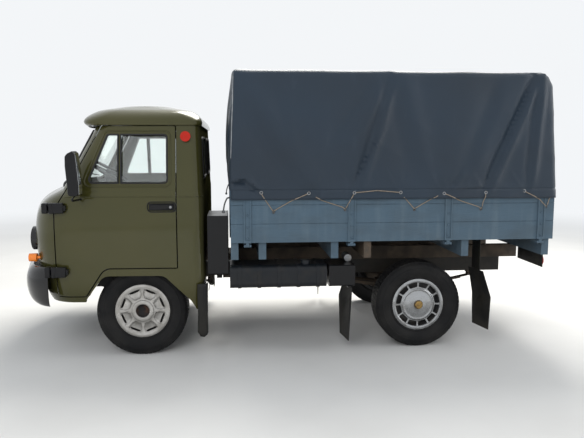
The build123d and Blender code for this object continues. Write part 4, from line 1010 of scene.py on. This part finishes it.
def rope_run(trees, start, points, end):
    """A run with places between its points, so that it lies on what is below it all along."""
    places = []
    for (x, z), (next_x, next_z) in zip(points, points[1:]):
        steps = max(1, round(math.hypot(next_x - x, next_z - z) / ROPE_STEP))
        places += [(x + (next_x - x) * k / steps, z + (next_z - z) * k / steps) for k in range(steps)]
    places.append(points[-1])
    lies = [start] + ["over"] * (len(places) - 2) + [end]
    return [rope_point(trees, *place, how) for place, how in zip(places, lies)]


def add_lashing(cloth):
    """Rope laced between the eyelets and hooks on the side boards."""
    trees = (cloth, surface("side_board_left"))
    rope = tube([rope_run(trees, *run) for run in ROPE_RUNS], ROPE_RADIUS)
    hooks = bmesh.new()
    for x, z in HOOKS:
        x = axle_x(x)
        joined(hooks, lathe(HOOK_PLATE, (x, PLATE_SIDE, z - PLATE_BELOW), "y", 16))
        joined(hooks, tube([[(x, y, z + up) for y, up in HOOK_BEND]], HOOK_RADIUS))
    finish_pair("lashing_rope", rope, rope_fibre, "side_board", "tilt_cloth")
    finish_pair("lashing_hooks", hooks, hook_steel, "side_board", "bare_steel")


# Tyres: (radius, distance from the wheel's middle), from the bead to the shoulder, across the tread to its
# middle, and inside from the bead to the crown
TYRE_SIDE = ((0.2040, 0.0800), (0.2150, 0.0835), (0.2270, 0.0885), (0.2310, 0.0925), (0.2350, 0.0930),
             (0.2375, 0.0905), (0.2520, 0.0985), (0.2720, 0.1070), (0.2900, 0.1105), (0.3020, 0.1103),
             (0.3040, 0.1120), (0.3120, 0.1112), (0.3145, 0.1085), (0.3300, 0.1045), (0.3400, 0.1000),
             (0.3520, 0.0920), (0.3575, 0.0860))
TYRE_TREAD = ((0.3580, 0.056), (0.3580, 0.030), (0.3580, 0.003))
TYRE_LINING = ((0.2040, 0.0620), (0.2160, 0.0620), (0.2600, 0.0900), (0.3300, 0.0880), (0.3440, 0.0600))
TREAD_BLOCKS = 64
BLOCK_HEIGHT, BLOCK_GAP = 0.0078, 0.0038
LUG_HEIGHT, LUG_GAP = 0.0040, 0.0030       # of the lugs on the shoulder
CROWN_RADIUS = 0.3545    # beyond which the tread's blocks stand
SHOULDER_RADII = (0.342, 0.350)
TREAD_HALF = 0.09
CHEVRON = 0.045          # how far the tread's middle runs ahead of its edges, in radians


def tyre_shape():
    """A tyre about the Y axis at the origin, with its outboard side towards -Y."""
    half = TYRE_SIDE + TYRE_TREAD
    outline = [(radius, -out) for radius, out in half] + list(reversed(half))
    outline += list(TYRE_LINING) + [(radius, -out) for radius, out in reversed(TYRE_LINING)]
    bm = lathe(outline, (0, 0, 0), "y", TREAD_BLOCKS)
    for vert in bm.verts:
        ahead = CHEVRON * (1 - min(abs(vert.co.y) / TREAD_HALF, 1.0))
        vert.co = Matrix.Rotation(ahead, 4, "Y") @ vert.co
    bm.normal_update()
    crown, shoulder = [], []
    for face in bm.faces:
        centre = face.calc_center_median()
        reach = math.hypot(centre.x, centre.z)
        if reach > CROWN_RADIUS and abs(centre.y) > 0.0035 and face.calc_area() > 0.0002:
            crown.append(face)
        elif SHOULDER_RADII[0] < reach < SHOULDER_RADII[1] and abs(centre.y) > TREAD_HALF:
            turn = math.atan2(centre.z, centre.x) * TREAD_BLOCKS / (2 * math.pi)
            if math.floor(turn) % 2:
                shoulder.append(face)
    bmesh.ops.inset_individual(bm, faces=crown, thickness=BLOCK_GAP, depth=BLOCK_HEIGHT)
    bmesh.ops.inset_individual(bm, faces=shoulder, thickness=LUG_GAP, depth=LUG_HEIGHT)
    return bm


def add_tyres():
    shape = tyre_shape()
    for end, x in (("front", FRONT_AXLE), ("rear", REAR_AXLE)):
        for side, sign in SIDES.items():
            bm = placed(flipped(shape) if sign > 0 else shape.copy(), (x, sign * WHEEL_SIDE, WHEEL_HEIGHT))
            finish_piece(f"tyre_{end}_{side}_tread", bm, tyre_rubber, f"wheel_{end}_{side}", "tyre",
                         (f"tyre_{end}_{side}",), angle=32)
    shape.free()


# Openings of the wheel covers as the photograph has them: pairs of (in the solid, shown), first the degrees
# from an opening's middle, then the metres from the hub
OPENING_COUNT = {"front": 8, "rear": 12}
OPENING_SPREAD = {"front": ((0, 0), (9, 14.5), (12, 17), (15, 19.5), (22.5, 22.5)),
                  "rear": ((0, 0), (11, 13), (15, 15))}
OPENING_REACH = {
    "front": ((0, 0), (0.085, 0.085), (0.110, 0.101), (0.154, 0.161), (0.172, 0.178), (0.191, 0.192)),
    "rear": ((0, 0), (0.038, 0.034), (0.120, 0.118), (0.140, 0.133), (0.160, 0.146), (0.194, 0.187),
             (0.220, 0.214)),
}
HUB_RADIUS = {"front": 0.0535, "rear": 0.0345}
# Beyond these radii what lies outboard is the rim's edge. The skin is what lies outboard of these distances
# from the wheel's middle, first for moving it and then for its finish.
COVER_EDGE, COVER_RADIUS = 0.1965, 0.187
MOVED_SKIN, MOVED_EDGE = 0.0705, 0.0902
COVER_SKIN, COVER_LIP, COVER_FACE = 0.069, 0.0903, 0.086


def wide_openings(axle, sign, end):
    """Widens a cover's openings, whose outboard skin is what moves."""
    pitch = 360 / OPENING_COUNT[end]

    def shape(bm):
        for vert in bm.verts:
            ahead, above = vert.co.x - axle.x, vert.co.z - axle.z
            reach, out = math.hypot(ahead, above), (vert.co.y - axle.y) * sign
            if out < MOVED_SKIN or reach < 1e-4 or (out < MOVED_EDGE and reach > COVER_EDGE):
                continue
            turn = math.degrees(math.atan2(above, ahead))
            middle_turn = (math.floor(turn / pitch) + 0.5) * pitch
            aside = turn - middle_turn
            spread = by_table(abs(aside), OPENING_SPREAD[end])
            shown = math.radians(middle_turn + math.copysign(spread, aside))
            reach = by_table(reach, OPENING_REACH[end])
            vert.co.x, vert.co.z = axle.x + reach * math.cos(shown), axle.z + reach * math.sin(shown)
    return shape


def add_wheels():
    """The rims in dark steel with their pressed covers, silver in front and bright behind."""
    for end, x in (("front", FRONT_AXLE), ("rear", REAR_AXLE)):
        for side, sign in SIDES.items():
            axle = Vector((x, sign * WHEEL_SIDE, WHEEL_HEIGHT))

            def choose(place, normal, axle=axle, sign=sign, end=end):
                reach = math.hypot(place.x - axle.x, place.z - axle.z)
                out = (place.y - axle.y) * sign
                if reach < HUB_RADIUS[end]:
                    return 2
                cover = out > (COVER_LIP if reach > COVER_RADIUS else COVER_SKIN)
                return 0 if cover and (normal.y * sign > -0.5 or out > COVER_FACE) else 1
            cover, centre = (cover_silver, rusty_hub) if end == "front" else (cover_chrome, hub_boss)
            wheel = f"wheel_{end}_{side}"
            dressed_copy(wheel, wheel, "wheel_silver", (cover, rim_steel, centre), choose,
                         wide_openings(axle, sign, end))


# Windows: outlines as distance behind the front axle, or distance across, and height, then corners' radii
SIDE_LIGHTS = (
    (((-0.391, 1.4155), (-0.234, 1.7925), (-0.1505, 1.7925), (-0.1505, 1.4155)),
     (0.028, 0.024, 0.006, 0.006)),
    (((-0.1335, 1.4155), (-0.1335, 1.7925), (0.2285, 1.7925), (0.2285, 1.4155)),
     (0.006, 0.006, 0.026, 0.026)),
)
# Pressed bead of the door round both lights
DOOR_BEAD = (((-0.4310, 1.3880), (-0.2520, 1.8200), (0.2560, 1.8200), (0.2560, 1.3880)), (0.040,) * 4)
WINDSCREEN = (((0.0215, 1.3935), (0.7400, 1.3935), (0.6945, 1.8265), (0.0215, 1.8265)),
              (0.034, 0.049, 0.064, 0.034))
REAR_LIGHT = (((0.166, 1.446), (0.644, 1.446), (0.624, 1.774), (0.166, 1.774)), (0.044,) * 4)
# Pressed waist line along the cab: its height, and where it ends on the door and on the rear corner
WAIST = 1.308
WAIST_ENDS = (("door", "door", "door_left", -0.560, 0.3045),
              ("corner", "chassis", "cab_back", 0.3115, 0.528))
WAIST_RADIUS = 0.0042
LIGHT_RUBBER, SCREEN_RUBBER, BEAD_RADIUS = 0.0075, 0.010, 0.0065
LIGHT_LIFT, SCREEN_LIFT = 0.001, 0.002         # of the rubbers' middle lines off the cab
BEHIND_CAB = 0.9         # where rays start that look for the rear light


def add_waist_line():
    for part, body, node, front, back in WAIST_ENDS:
        skin = surface(node)
        points = [on_side(skin, front + (back - front) * step / 24, WAIST) for step in range(25)]
        line = tube([[point for point in points if point]], WAIST_RADIUS, kind="POLY", sides=2)
        finish_pair(f"waist_line_{part}", line, cab_paint, body, "cab_paint", angle=60)


def add_window_rubbers():
    doors = surface("door_left")
    bm = bmesh.new()
    for outline in SIDE_LIGHTS:
        joined(bm, rubber_loop(outline, lambda p: on_side(doors, p.x, p.y, LIGHT_LIFT), LIGHT_RUBBER))
    finish_pair("window_rubbers", bm, rubber_seal, "door", "rubber", angle=60)
    bead = rubber_loop(DOOR_BEAD, lambda p: on_side(doors, p.x, p.y), BEAD_RADIUS)
    finish_pair("window_bead", bead, cab_paint, "door", "cab_paint", angle=60)
    bm = bmesh.new()
    for wall, outline, start, way in (("cab_front", WINDSCREEN, FAR_SIDE, TO_TAIL),
                                      ("cab_back", REAR_LIGHT, BEHIND_CAB, TO_NOSE)):
        pane = surface(wall, "cab_glass")
        joined(bm, rubber_loop(outline, lambda p: landed(pane, (axle_x(start), -p.x, p.y), way, SCREEN_LIFT),
                               SCREEN_RUBBER))
    finish_both("windscreen_rubbers", bm, rubber_seal, "chassis", "rubber", angle=60)


# Wipers: pivot, and the two ends of the blade, as distance across and height on the windscreen, then how far
# the arm, the blade and the pivot stand off it
WIPER_PIVOT = (0.470, 1.376)
WIPER_BLADE = ((0.560, 1.420), (0.130, 1.462))
ARM_LIFT, BLADE_LIFT, PIVOT_LIFT = 0.014, 0.009, 0.006
ARM_RADIUS, BLADE_RADIUS = 0.0042, 0.0055
PIVOT = ((0.0, -0.014), (0.013, -0.012), (0.016, 0.004), (0.0, 0.006))


def add_wipers():
    screen = surface("cab_front", "cab_glass")

    def on_screen(across, z, lift):
        return landed(screen, (axle_x(FAR_SIDE), -across, z), TO_TAIL, lift)
    ends = [on_screen(*point, ARM_LIFT) for point in WIPER_BLADE]
    clip = ends[0].lerp(ends[1], 0.5)
    pivot = on_screen(*WIPER_PIVOT, PIVOT_LIFT)
    arm = [pivot, pivot + Vector((-0.022, 0.006, 0.008)), clip + Vector((-0.012, -0.06, -0.012)), clip]
    bm = tube([arm], ARM_RADIUS)
    spread = [ends[0].lerp(ends[1], k / 6) for k in range(7)]
    joined(bm, tube([[on_screen(-p.y, p.z, BLADE_LIFT) for p in spread]], BLADE_RADIUS))
    joined(bm, lathe(PIVOT, pivot, "x", 20))
    finish_both("wipers", bm, black_plastic, "chassis", "black_matte")


# Mirror's head: its plain block in the solids, then how far its front and rear edges lie behind that
# block's, by the share of its height
MIRROR_FOOT, MIRROR_HEIGHT = 1.330, 0.320
MIRROR_FRONT, MIRROR_DEPTH = -0.516, 0.100
MIRROR_GROWS = 1.08
MIRROR_LEADS = ((0, 0.034), (0.25, 0.032), (0.65, 0.025), (0.85, 0.028), (0.94, 0.040), (1.0, 0.062))
MIRROR_TRAILS = ((0, 0.013), (0.25, 0.014), (0.65, 0.0055), (0.9, 0.0), (1.0, -0.012))
MIRROR_INNER = 0.975     # distance across beyond which the head is
# Mirror's pane between two corners, then its place and lean
PANE = ((-0.0015, -1.108, -0.145), (0.0015, -0.992, 0.145))
PANE_PLACE = (axle_x(-0.4135), 0, 1.487)
PANE_LEAN = -1.4
# Cup behind the door's handle between two corners, the pressed rim round it, and the lock below the handle
CUP = ((axle_x(0.0855), -0.9222, 1.1995), (axle_x(0.2845), -0.9203, 1.2565))
HANDLE_RIM = (((0.074, 1.189), (0.296, 1.189), (0.296, 1.267), (0.074, 1.267)), (0.030,) * 4)
RIM_RADIUS = 0.0045
LOCK = ((0.0, 0.0), (0.011, 0.0), (0.010, -0.004), (0.0, -0.0045))
LOCK_PLACE = (axle_x(0.255), -0.9525, 1.228)


def leaning_mirror(bm):
    """Bends a mirror's head to the leaning, round-topped outline that the photograph shows."""
    for step in range(1, 20):
        cut_level(bm, MIRROR_FOOT + MIRROR_HEIGHT * step / 20)
    for vert in bm.verts:
        share = (vert.co.z - MIRROR_FOOT) / MIRROR_HEIGHT
        if share < -0.002 or abs(vert.co.y) < MIRROR_INNER:
            continue
        across = (vert.co.x - axle_x(MIRROR_FRONT)) / MIRROR_DEPTH
        share = min(max(share, 0), 1)
        vert.co.x += (1 - across) * by_table(share, MIRROR_LEADS) + across * by_table(share, MIRROR_TRAILS)
        vert.co.z = MIRROR_FOOT + MIRROR_GROWS * (vert.co.z - MIRROR_FOOT)


def add_door_fittings():
    """Mirror glass, the cup behind the door handle and its lock, on both doors."""
    doors = surface("door_left")
    pane = slab(*PANE, 0.0012, 2)
    leaning_mirror(placed(pane, PANE_PLACE, PANE_LEAN))
    for side in SIDES:
        dressed_copy(f"door_fittings_{side}", f"door_{side}", "black_matte", (black_plastic,),
                     shape=leaning_mirror)
    cup = slab(*CUP, 0.0008, 1)
    joined(cup, rubber_loop(HANDLE_RIM, lambda p: on_side(doors, p.x, p.y), RIM_RADIUS))
    finish_pair("mirror_glass", pane, mirror_glass, "door", "glass")
    finish_pair("handle_cup", cup, black_plastic, "door", "black_matte")
    finish_pair("door_lock", lathe(LOCK, LOCK_PLACE, "y", 24), zinc, "door", "bare_steel")


SOFT_WAVE, SOFT_CREASE = 0.004, 0.003


def cushion(low, high, soft):
    """A stuffed pad between two corners: a rounded box under a slightly uneven cover."""
    bm = slab(low, high, soft, 3)
    long_edges = [edge for edge in bm.edges if edge.calc_length() > 0.15]
    bmesh.ops.subdivide_edges(bm, edges=long_edges, cuts=5, use_grid_fill=True)
    bm.normal_update()
    for vert in bm.verts:
        uneven = SOFT_WAVE * noise.noise(vert.co * 9) + SOFT_CREASE * noise.noise(vert.co * 23)
        vert.co += vert.normal * uneven
    return bm


# Seat: its outer and inner side, its base from front to rear and in height, where its back leans from, by
# how many degrees, the back's thickness and height, and the head rest between two corners
SEAT_SIDES = (-0.790, -0.340)
SEAT_BASE, BASE_HEIGHTS = (-0.088, 0.398), (0.962, 1.108)
SEAT_HINGE = (0.345, 1.108)
SEAT_LEAN = 10.5
BACK_SIZE = ((-0.040, 0.0), (0.062, 0.490))
HEAD_REST = ((axle_x(0.392), -0.683, 1.602), (axle_x(0.446), -0.447, 1.738))


def add_seats():
    """Seats in their light covers, each in its two cushions and head rest."""
    outer, inner = SEAT_SIDES
    front, rear = (axle_x(x) for x in SEAT_BASE)
    bm = cushion((front, outer, BASE_HEIGHTS[0]), (rear, inner, BASE_HEIGHTS[1]), 0.045)
    (back_front, foot), (back_rear, top) = BACK_SIZE
    back = cushion((back_front, outer + 0.005, foot), (back_rear, inner - 0.005, top), 0.040)
    joined(bm, placed(back, (axle_x(SEAT_HINGE[0]), 0, SEAT_HINGE[1]), SEAT_LEAN))
    joined(bm, cushion(*HEAD_REST, 0.024))
    lay_out_cloth(bm)
    pair = finish_pair("seat", bm, seat_cloth, "chassis", "seat_cloth", angle=70)
    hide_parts("seats")
    for seat in pair:
        soft = seat.modifiers.new("soft", "SUBSURF")
        soft.levels = soft.render_levels = 1


# Headlamps: middle as distance across and height, radii of the whole and of its reflector, where they leave
# the cab and where the reflector ends in front, and their depth as a share of the solids'
LAMP_ACROSS, LAMP_HEIGHT = 0.590, 0.950
LAMP_RADIUS, REFLECTOR_RADIUS = 0.105, 0.0862
LAMP_SEAT, REFLECTOR_FRONT = -0.850, -0.8720
LAMP_DEPTH = 0.55
SILL_TOP, SILL_SIDE = 0.80, 0.42       # the bed's long sills lie below and inside these
WOOD_BEAM = (1.78, 1.88)               # front and rear of the cross beam of bare wood
FRONT_WALL_BACK = 0.7502               # rear face of the bed's front wall
TRIM_LEVEL = 1.0932                    # above it lies the engine cover's flat top
# Flaps at the rear wheels: level of their bend, how far behind the front axle all of them and those behind
# the wheels are, and a flap's inner edge and width
FLAP_KINK = 0.44
REAR_FLAPS, BEHIND_WHEELS = 1.2, 2.4
FLAP_INNER, FLAP_WIDTH = 0.705, 0.22
# How far a flap is bent: one behind the wheels at its inner edge and more at its outer one, and one before
# them at its inner edge
KICK, KICK_MORE, KICK_FORWARD = 0.017, 0.030, 0.027


def from_lamp(place):
    """Distance from a headlamp's axis."""
    return math.hypot(abs(place.y) - LAMP_ACROSS, place.z - LAMP_HEIGHT)


def shallow_lamps(bm):
    """Brings the lamps' rims and lenses nearer to the cab, as in the photograph."""
    seat = axle_x(LAMP_SEAT)
    for vert in bm.verts:
        if vert.co.x < seat and from_lamp(vert.co) < LAMP_RADIUS:
            vert.co.x = seat + LAMP_DEPTH * (vert.co.x - seat)


def nose_finish(place, normal):
    """The grille is painted like the cab, and a lamp has its reflector inside its black rim."""
    if from_lamp(place) > LAMP_RADIUS:
        return 0
    return 1 if place.x > axle_x(REFLECTOR_FRONT) and from_lamp(place) < REFLECTOR_RADIUS else 2


def beam_finish(place, normal):
    """Cross beams are painted like the boards but for one of bare wood, and the long sills are dirty."""
    if place.z < SILL_TOP and abs(place.y) < SILL_SIDE:
        return 2
    return 1 if WOOD_BEAM[0] < place.x - FRONT_AXLE < WOOD_BEAM[1] else 0


def wall_finish(place, normal):
    """The cab's rear wall is dusty on the outside."""
    return int(normal.x > 0.75)


def floor_finish(place, normal):
    """The bed's front wall is painted."""
    return int(place.x < axle_x(FRONT_WALL_BACK))


def cover_finish(place, normal):
    """The engine cover has its mat on the sides and plain trim on the flat top."""
    return int(place.z > TRIM_LEVEL)


def kinked_flaps(bm):
    """Bends the flaps behind and before the rear wheels as they hang in the photograph."""
    cut_level(bm, FLAP_KINK)
    for vert in bm.verts:
        behind = vert.co.x - FRONT_AXLE
        if behind > REAR_FLAPS and abs(vert.co.z - FLAP_KINK) < 1e-4:
            outer = min(max((abs(vert.co.y) - FLAP_INNER) / FLAP_WIDTH, 0), 1)
            vert.co.x += KICK + KICK_MORE * outer if behind > BEHIND_WHEELS else -KICK_FORWARD * (1 - outer)


def add_dressed_nodes():
    """CAD nodes that are made of more than one thing, or are bent as in the photograph."""
    for node, slot, finishes, *ways in (
            ("nose_trim", "cab_paint", (cab_paint, reflector, black_gloss), nose_finish, shallow_lamps),
            ("headlamp_lenses", "lamp_glass", (lens_glass,), None, shallow_lamps),
            ("mud_flaps", "black_matte", (flap_rubber,), None, kinked_flaps),
            ("cab_back", "cab_paint", (cab_paint, rear_wall_paint), wall_finish),
            ("bed_floor", "bed_paint", (floor_wood, bed_paint), floor_finish),
            ("hoops", "chassis_paint", (hoop_steel,), None, None, 50),
            ("bed_beams", "chassis_paint", (bed_paint, beam_wood, dirty_steel), beam_finish),
            ("engine_cover", "cabin_trim", (cab_mat, cab_trim), cover_finish)):
        dressed_copy(node, "chassis", slot, finishes, *ways)


# Splash sheet under a rail, beside the engine: its ends behind the front axle, its sides and its heights
APRON_ENDS, APRON_SIDES, APRON_EDGES = (-0.780, -0.180), (-0.3835, -0.3795), (0.480, 0.580)


def add_aprons():
    """Splash sheets between the front wheels and the engine."""
    low, high = ((axle_x(x), y, z) for x, y, z in zip(APRON_ENDS, APRON_SIDES, APRON_EDGES))
    finish_both("splash_aprons", slab(low, high, 0.001, 1), flap_rubber, "chassis", "black_matte")


# Shut line round a door as distance behind the front axle and height, from its lower front corner
SHUT_LINE = ((-0.640, 0.500), (-0.4265, 0.500), (-0.2735, 0.7295), (0.3075, 0.7295), (0.3075, 1.8745),
             (-0.290, 1.8745))
SEAL_RADIUS, SEAL_INSIDE, SEAL_DEPTH = 0.011, 0.020, 0.030


def add_door_seals():
    """Rubber behind the shut lines, on the cab."""
    doors = surface("door_left")
    points = []
    for start, end in zip(SHUT_LINE, SHUT_LINE[1:]):
        start, end = Vector(start), Vector(end)
        inward = Vector((start.y - end.y, end.x - start.x)).normalized() * SEAL_INSIDE
        for k in range(12):
            near = start.lerp(end, k / 12) + inward
            point = on_side(doors, near.x, near.y, -SEAL_DEPTH)
            if point:
                points.append(point - Vector((inward.x, 0, inward.y)))
    seal = tube([points], SEAL_RADIUS, kind="POLY")
    finish_both("door_seals", seal, rubber_seal, "chassis", "rubber", angle=60)


# Hinges of the doors: levels, the pin as distance behind the front axle and Y, and half a cover's height
HINGE_LEVELS = (0.721, 1.225)
HINGE_PIN = (-0.655, -0.930)
HINGE_HALF = 0.041
KNUCKLE = ((0.0, -HINGE_HALF), (0.021, -HINGE_HALF), (0.024, -0.036), (0.024, 0.036), (0.021, HINGE_HALF),
           (0.0, HINGE_HALF))


def add_hinge_covers():
    """Black covers over the door hinges: one half on the cab, the other with the knuckle on the door."""
    fixed, moving = bmesh.new(), bmesh.new()
    x, y = axle_x(HINGE_PIN[0]), HINGE_PIN[1]
    for z in HINGE_LEVELS:
        foot, top = z - HINGE_HALF, z + HINGE_HALF
        joined(fixed, slab((x - 0.072, y - 0.019, foot), (x - 0.0275, y + 0.060, top), 0.010))
        joined(moving, slab((x + 0.010, y - 0.0215, foot), (x + 0.092, y + 0.030, top), 0.010))
        joined(moving, lathe(KNUCKLE, (x, y, z), "z", 28))
    finish_pair("hinge_knuckles", moving, black_plastic, "door", "black_matte")
    finish_both("hinge_covers", fixed, black_plastic, "chassis", "black_matte")


# Front mud flap's outer edge, bent forward round the cab's corner: its plan, top and rounded bottom, then
# the middle of its plan and half its length
FLAP_PLAN = ((0.5285, -0.790), (0.5310, -0.860), (0.5340, -0.900), (0.5270, -0.929), (0.5050, -0.9455),
             (0.4750, -0.9500), (0.4520, -0.9505))
FLAP_TOP, FLAP_BOTTOM, FLAP_ROUND = 0.610, 0.172, 0.045
FLAP_MIDDLE, FLAP_HALF = 0.498, 0.046
FLAP_THICKNESS = 0.005


def add_flap_edges():
    bm = bmesh.new()
    columns = []
    for x, y in FLAP_PLAN:
        bottom = FLAP_BOTTOM + FLAP_ROUND * (abs(x - FLAP_MIDDLE) / FLAP_HALF) ** 2.5
        column = []
        for k in range(16):
            z = bottom + (FLAP_TOP - bottom) * k / 15
            sway = 0.010 * noise.noise(Vector((x * 3, 0, z * 4)))
            column.append(bm.verts.new((axle_x(x) + sway, y - 0.5 * sway, z)))
        columns.append(column)
    for near, far in zip(columns, columns[1:]):
        for k in range(15):
            bm.faces.new((near[k], far[k], far[k + 1], near[k + 1]))
    bmesh.ops.recalc_face_normals(bm, faces=bm.faces)
    edges = finish_both("front_flap_edges", bm, flap_rubber, "chassis", "black_matte", angle=60)
    thicken(edges, FLAP_THICKNESS)


# Bolts through the boards' straps: where the straps are, the heads' heights, where they sit on the board,
# and their section for a radius of 1
STRAPS = (0.855, 1.690, 2.487, 3.273)
BOLT_HEIGHTS = (0.975, 1.065, 1.160, 1.290, 1.325)
BOLT_SIDE = -0.9858
BOLT_RADIUS = 0.0085
BOLT_DOME = ((0.0, 0.0), (1, 0.0), (0.92, -0.35), (0.55, -0.58), (0.0, -0.66))
CAN = ((0.0, 0.0), (0.030, 0.0), (0.034, -0.004), (0.034, -0.128), (0.030, -0.132), (0.0, -0.132))
CAN_PLACE = (axle_x(1.700), -0.640, 0.769)
LATCH_RADIUS = 0.006
LATCH_ROD = ((0.735, -0.940, 1.300), (0.700, -0.962, 1.300), (0.692, -0.968, 1.288), (0.672, -0.970, 1.240),
             (0.667, -0.968, 1.190))
LATCH_END = ((0.0, -0.010), (0.011, -0.010), (0.011, 0.010), (0.0, 0.010))


def add_bed_fittings():
    """Coach bolts of the straps, the can on the tool case, and the rods at the boards' front ends."""
    bolts = bmesh.new()
    dome = [(radius * BOLT_RADIUS, along * BOLT_RADIUS) for radius, along in BOLT_DOME]
    for x in STRAPS:
        for z in BOLT_HEIGHTS:
            joined(bolts, lathe(dome, (axle_x(x), BOLT_SIDE, z), "y", 12))
    finish_pair("strap_bolts", bolts, bed_paint, "side_board", "bed_paint")
    finish_piece("filter_can", lathe(CAN, CAN_PLACE, "y", 32), zinc, "chassis", "bare_steel")
    latch = [(axle_x(x), y, z) for x, y, z in LATCH_ROD]
    bm = tube([latch], LATCH_RADIUS)
    joined(bm, lathe(LATCH_END, latch[-1], "z", 16))
    finish_both("board_latch_rods", bm, hook_steel, "chassis", "bare_steel")


add_camera()
add_lights()
add_floor()
dress_nodes()
cloth = add_tilt()
add_grommets(cloth)
add_corner_highlight_strip(cloth)
add_lashing(cloth)
add_tyres()
add_wheels()
add_window_rubbers()
add_waist_line()
add_wipers()
add_door_fittings()
add_seats()
add_dressed_nodes()
add_bed_fittings()
add_door_seals()
add_hinge_covers()
add_flap_edges()
add_aprons()
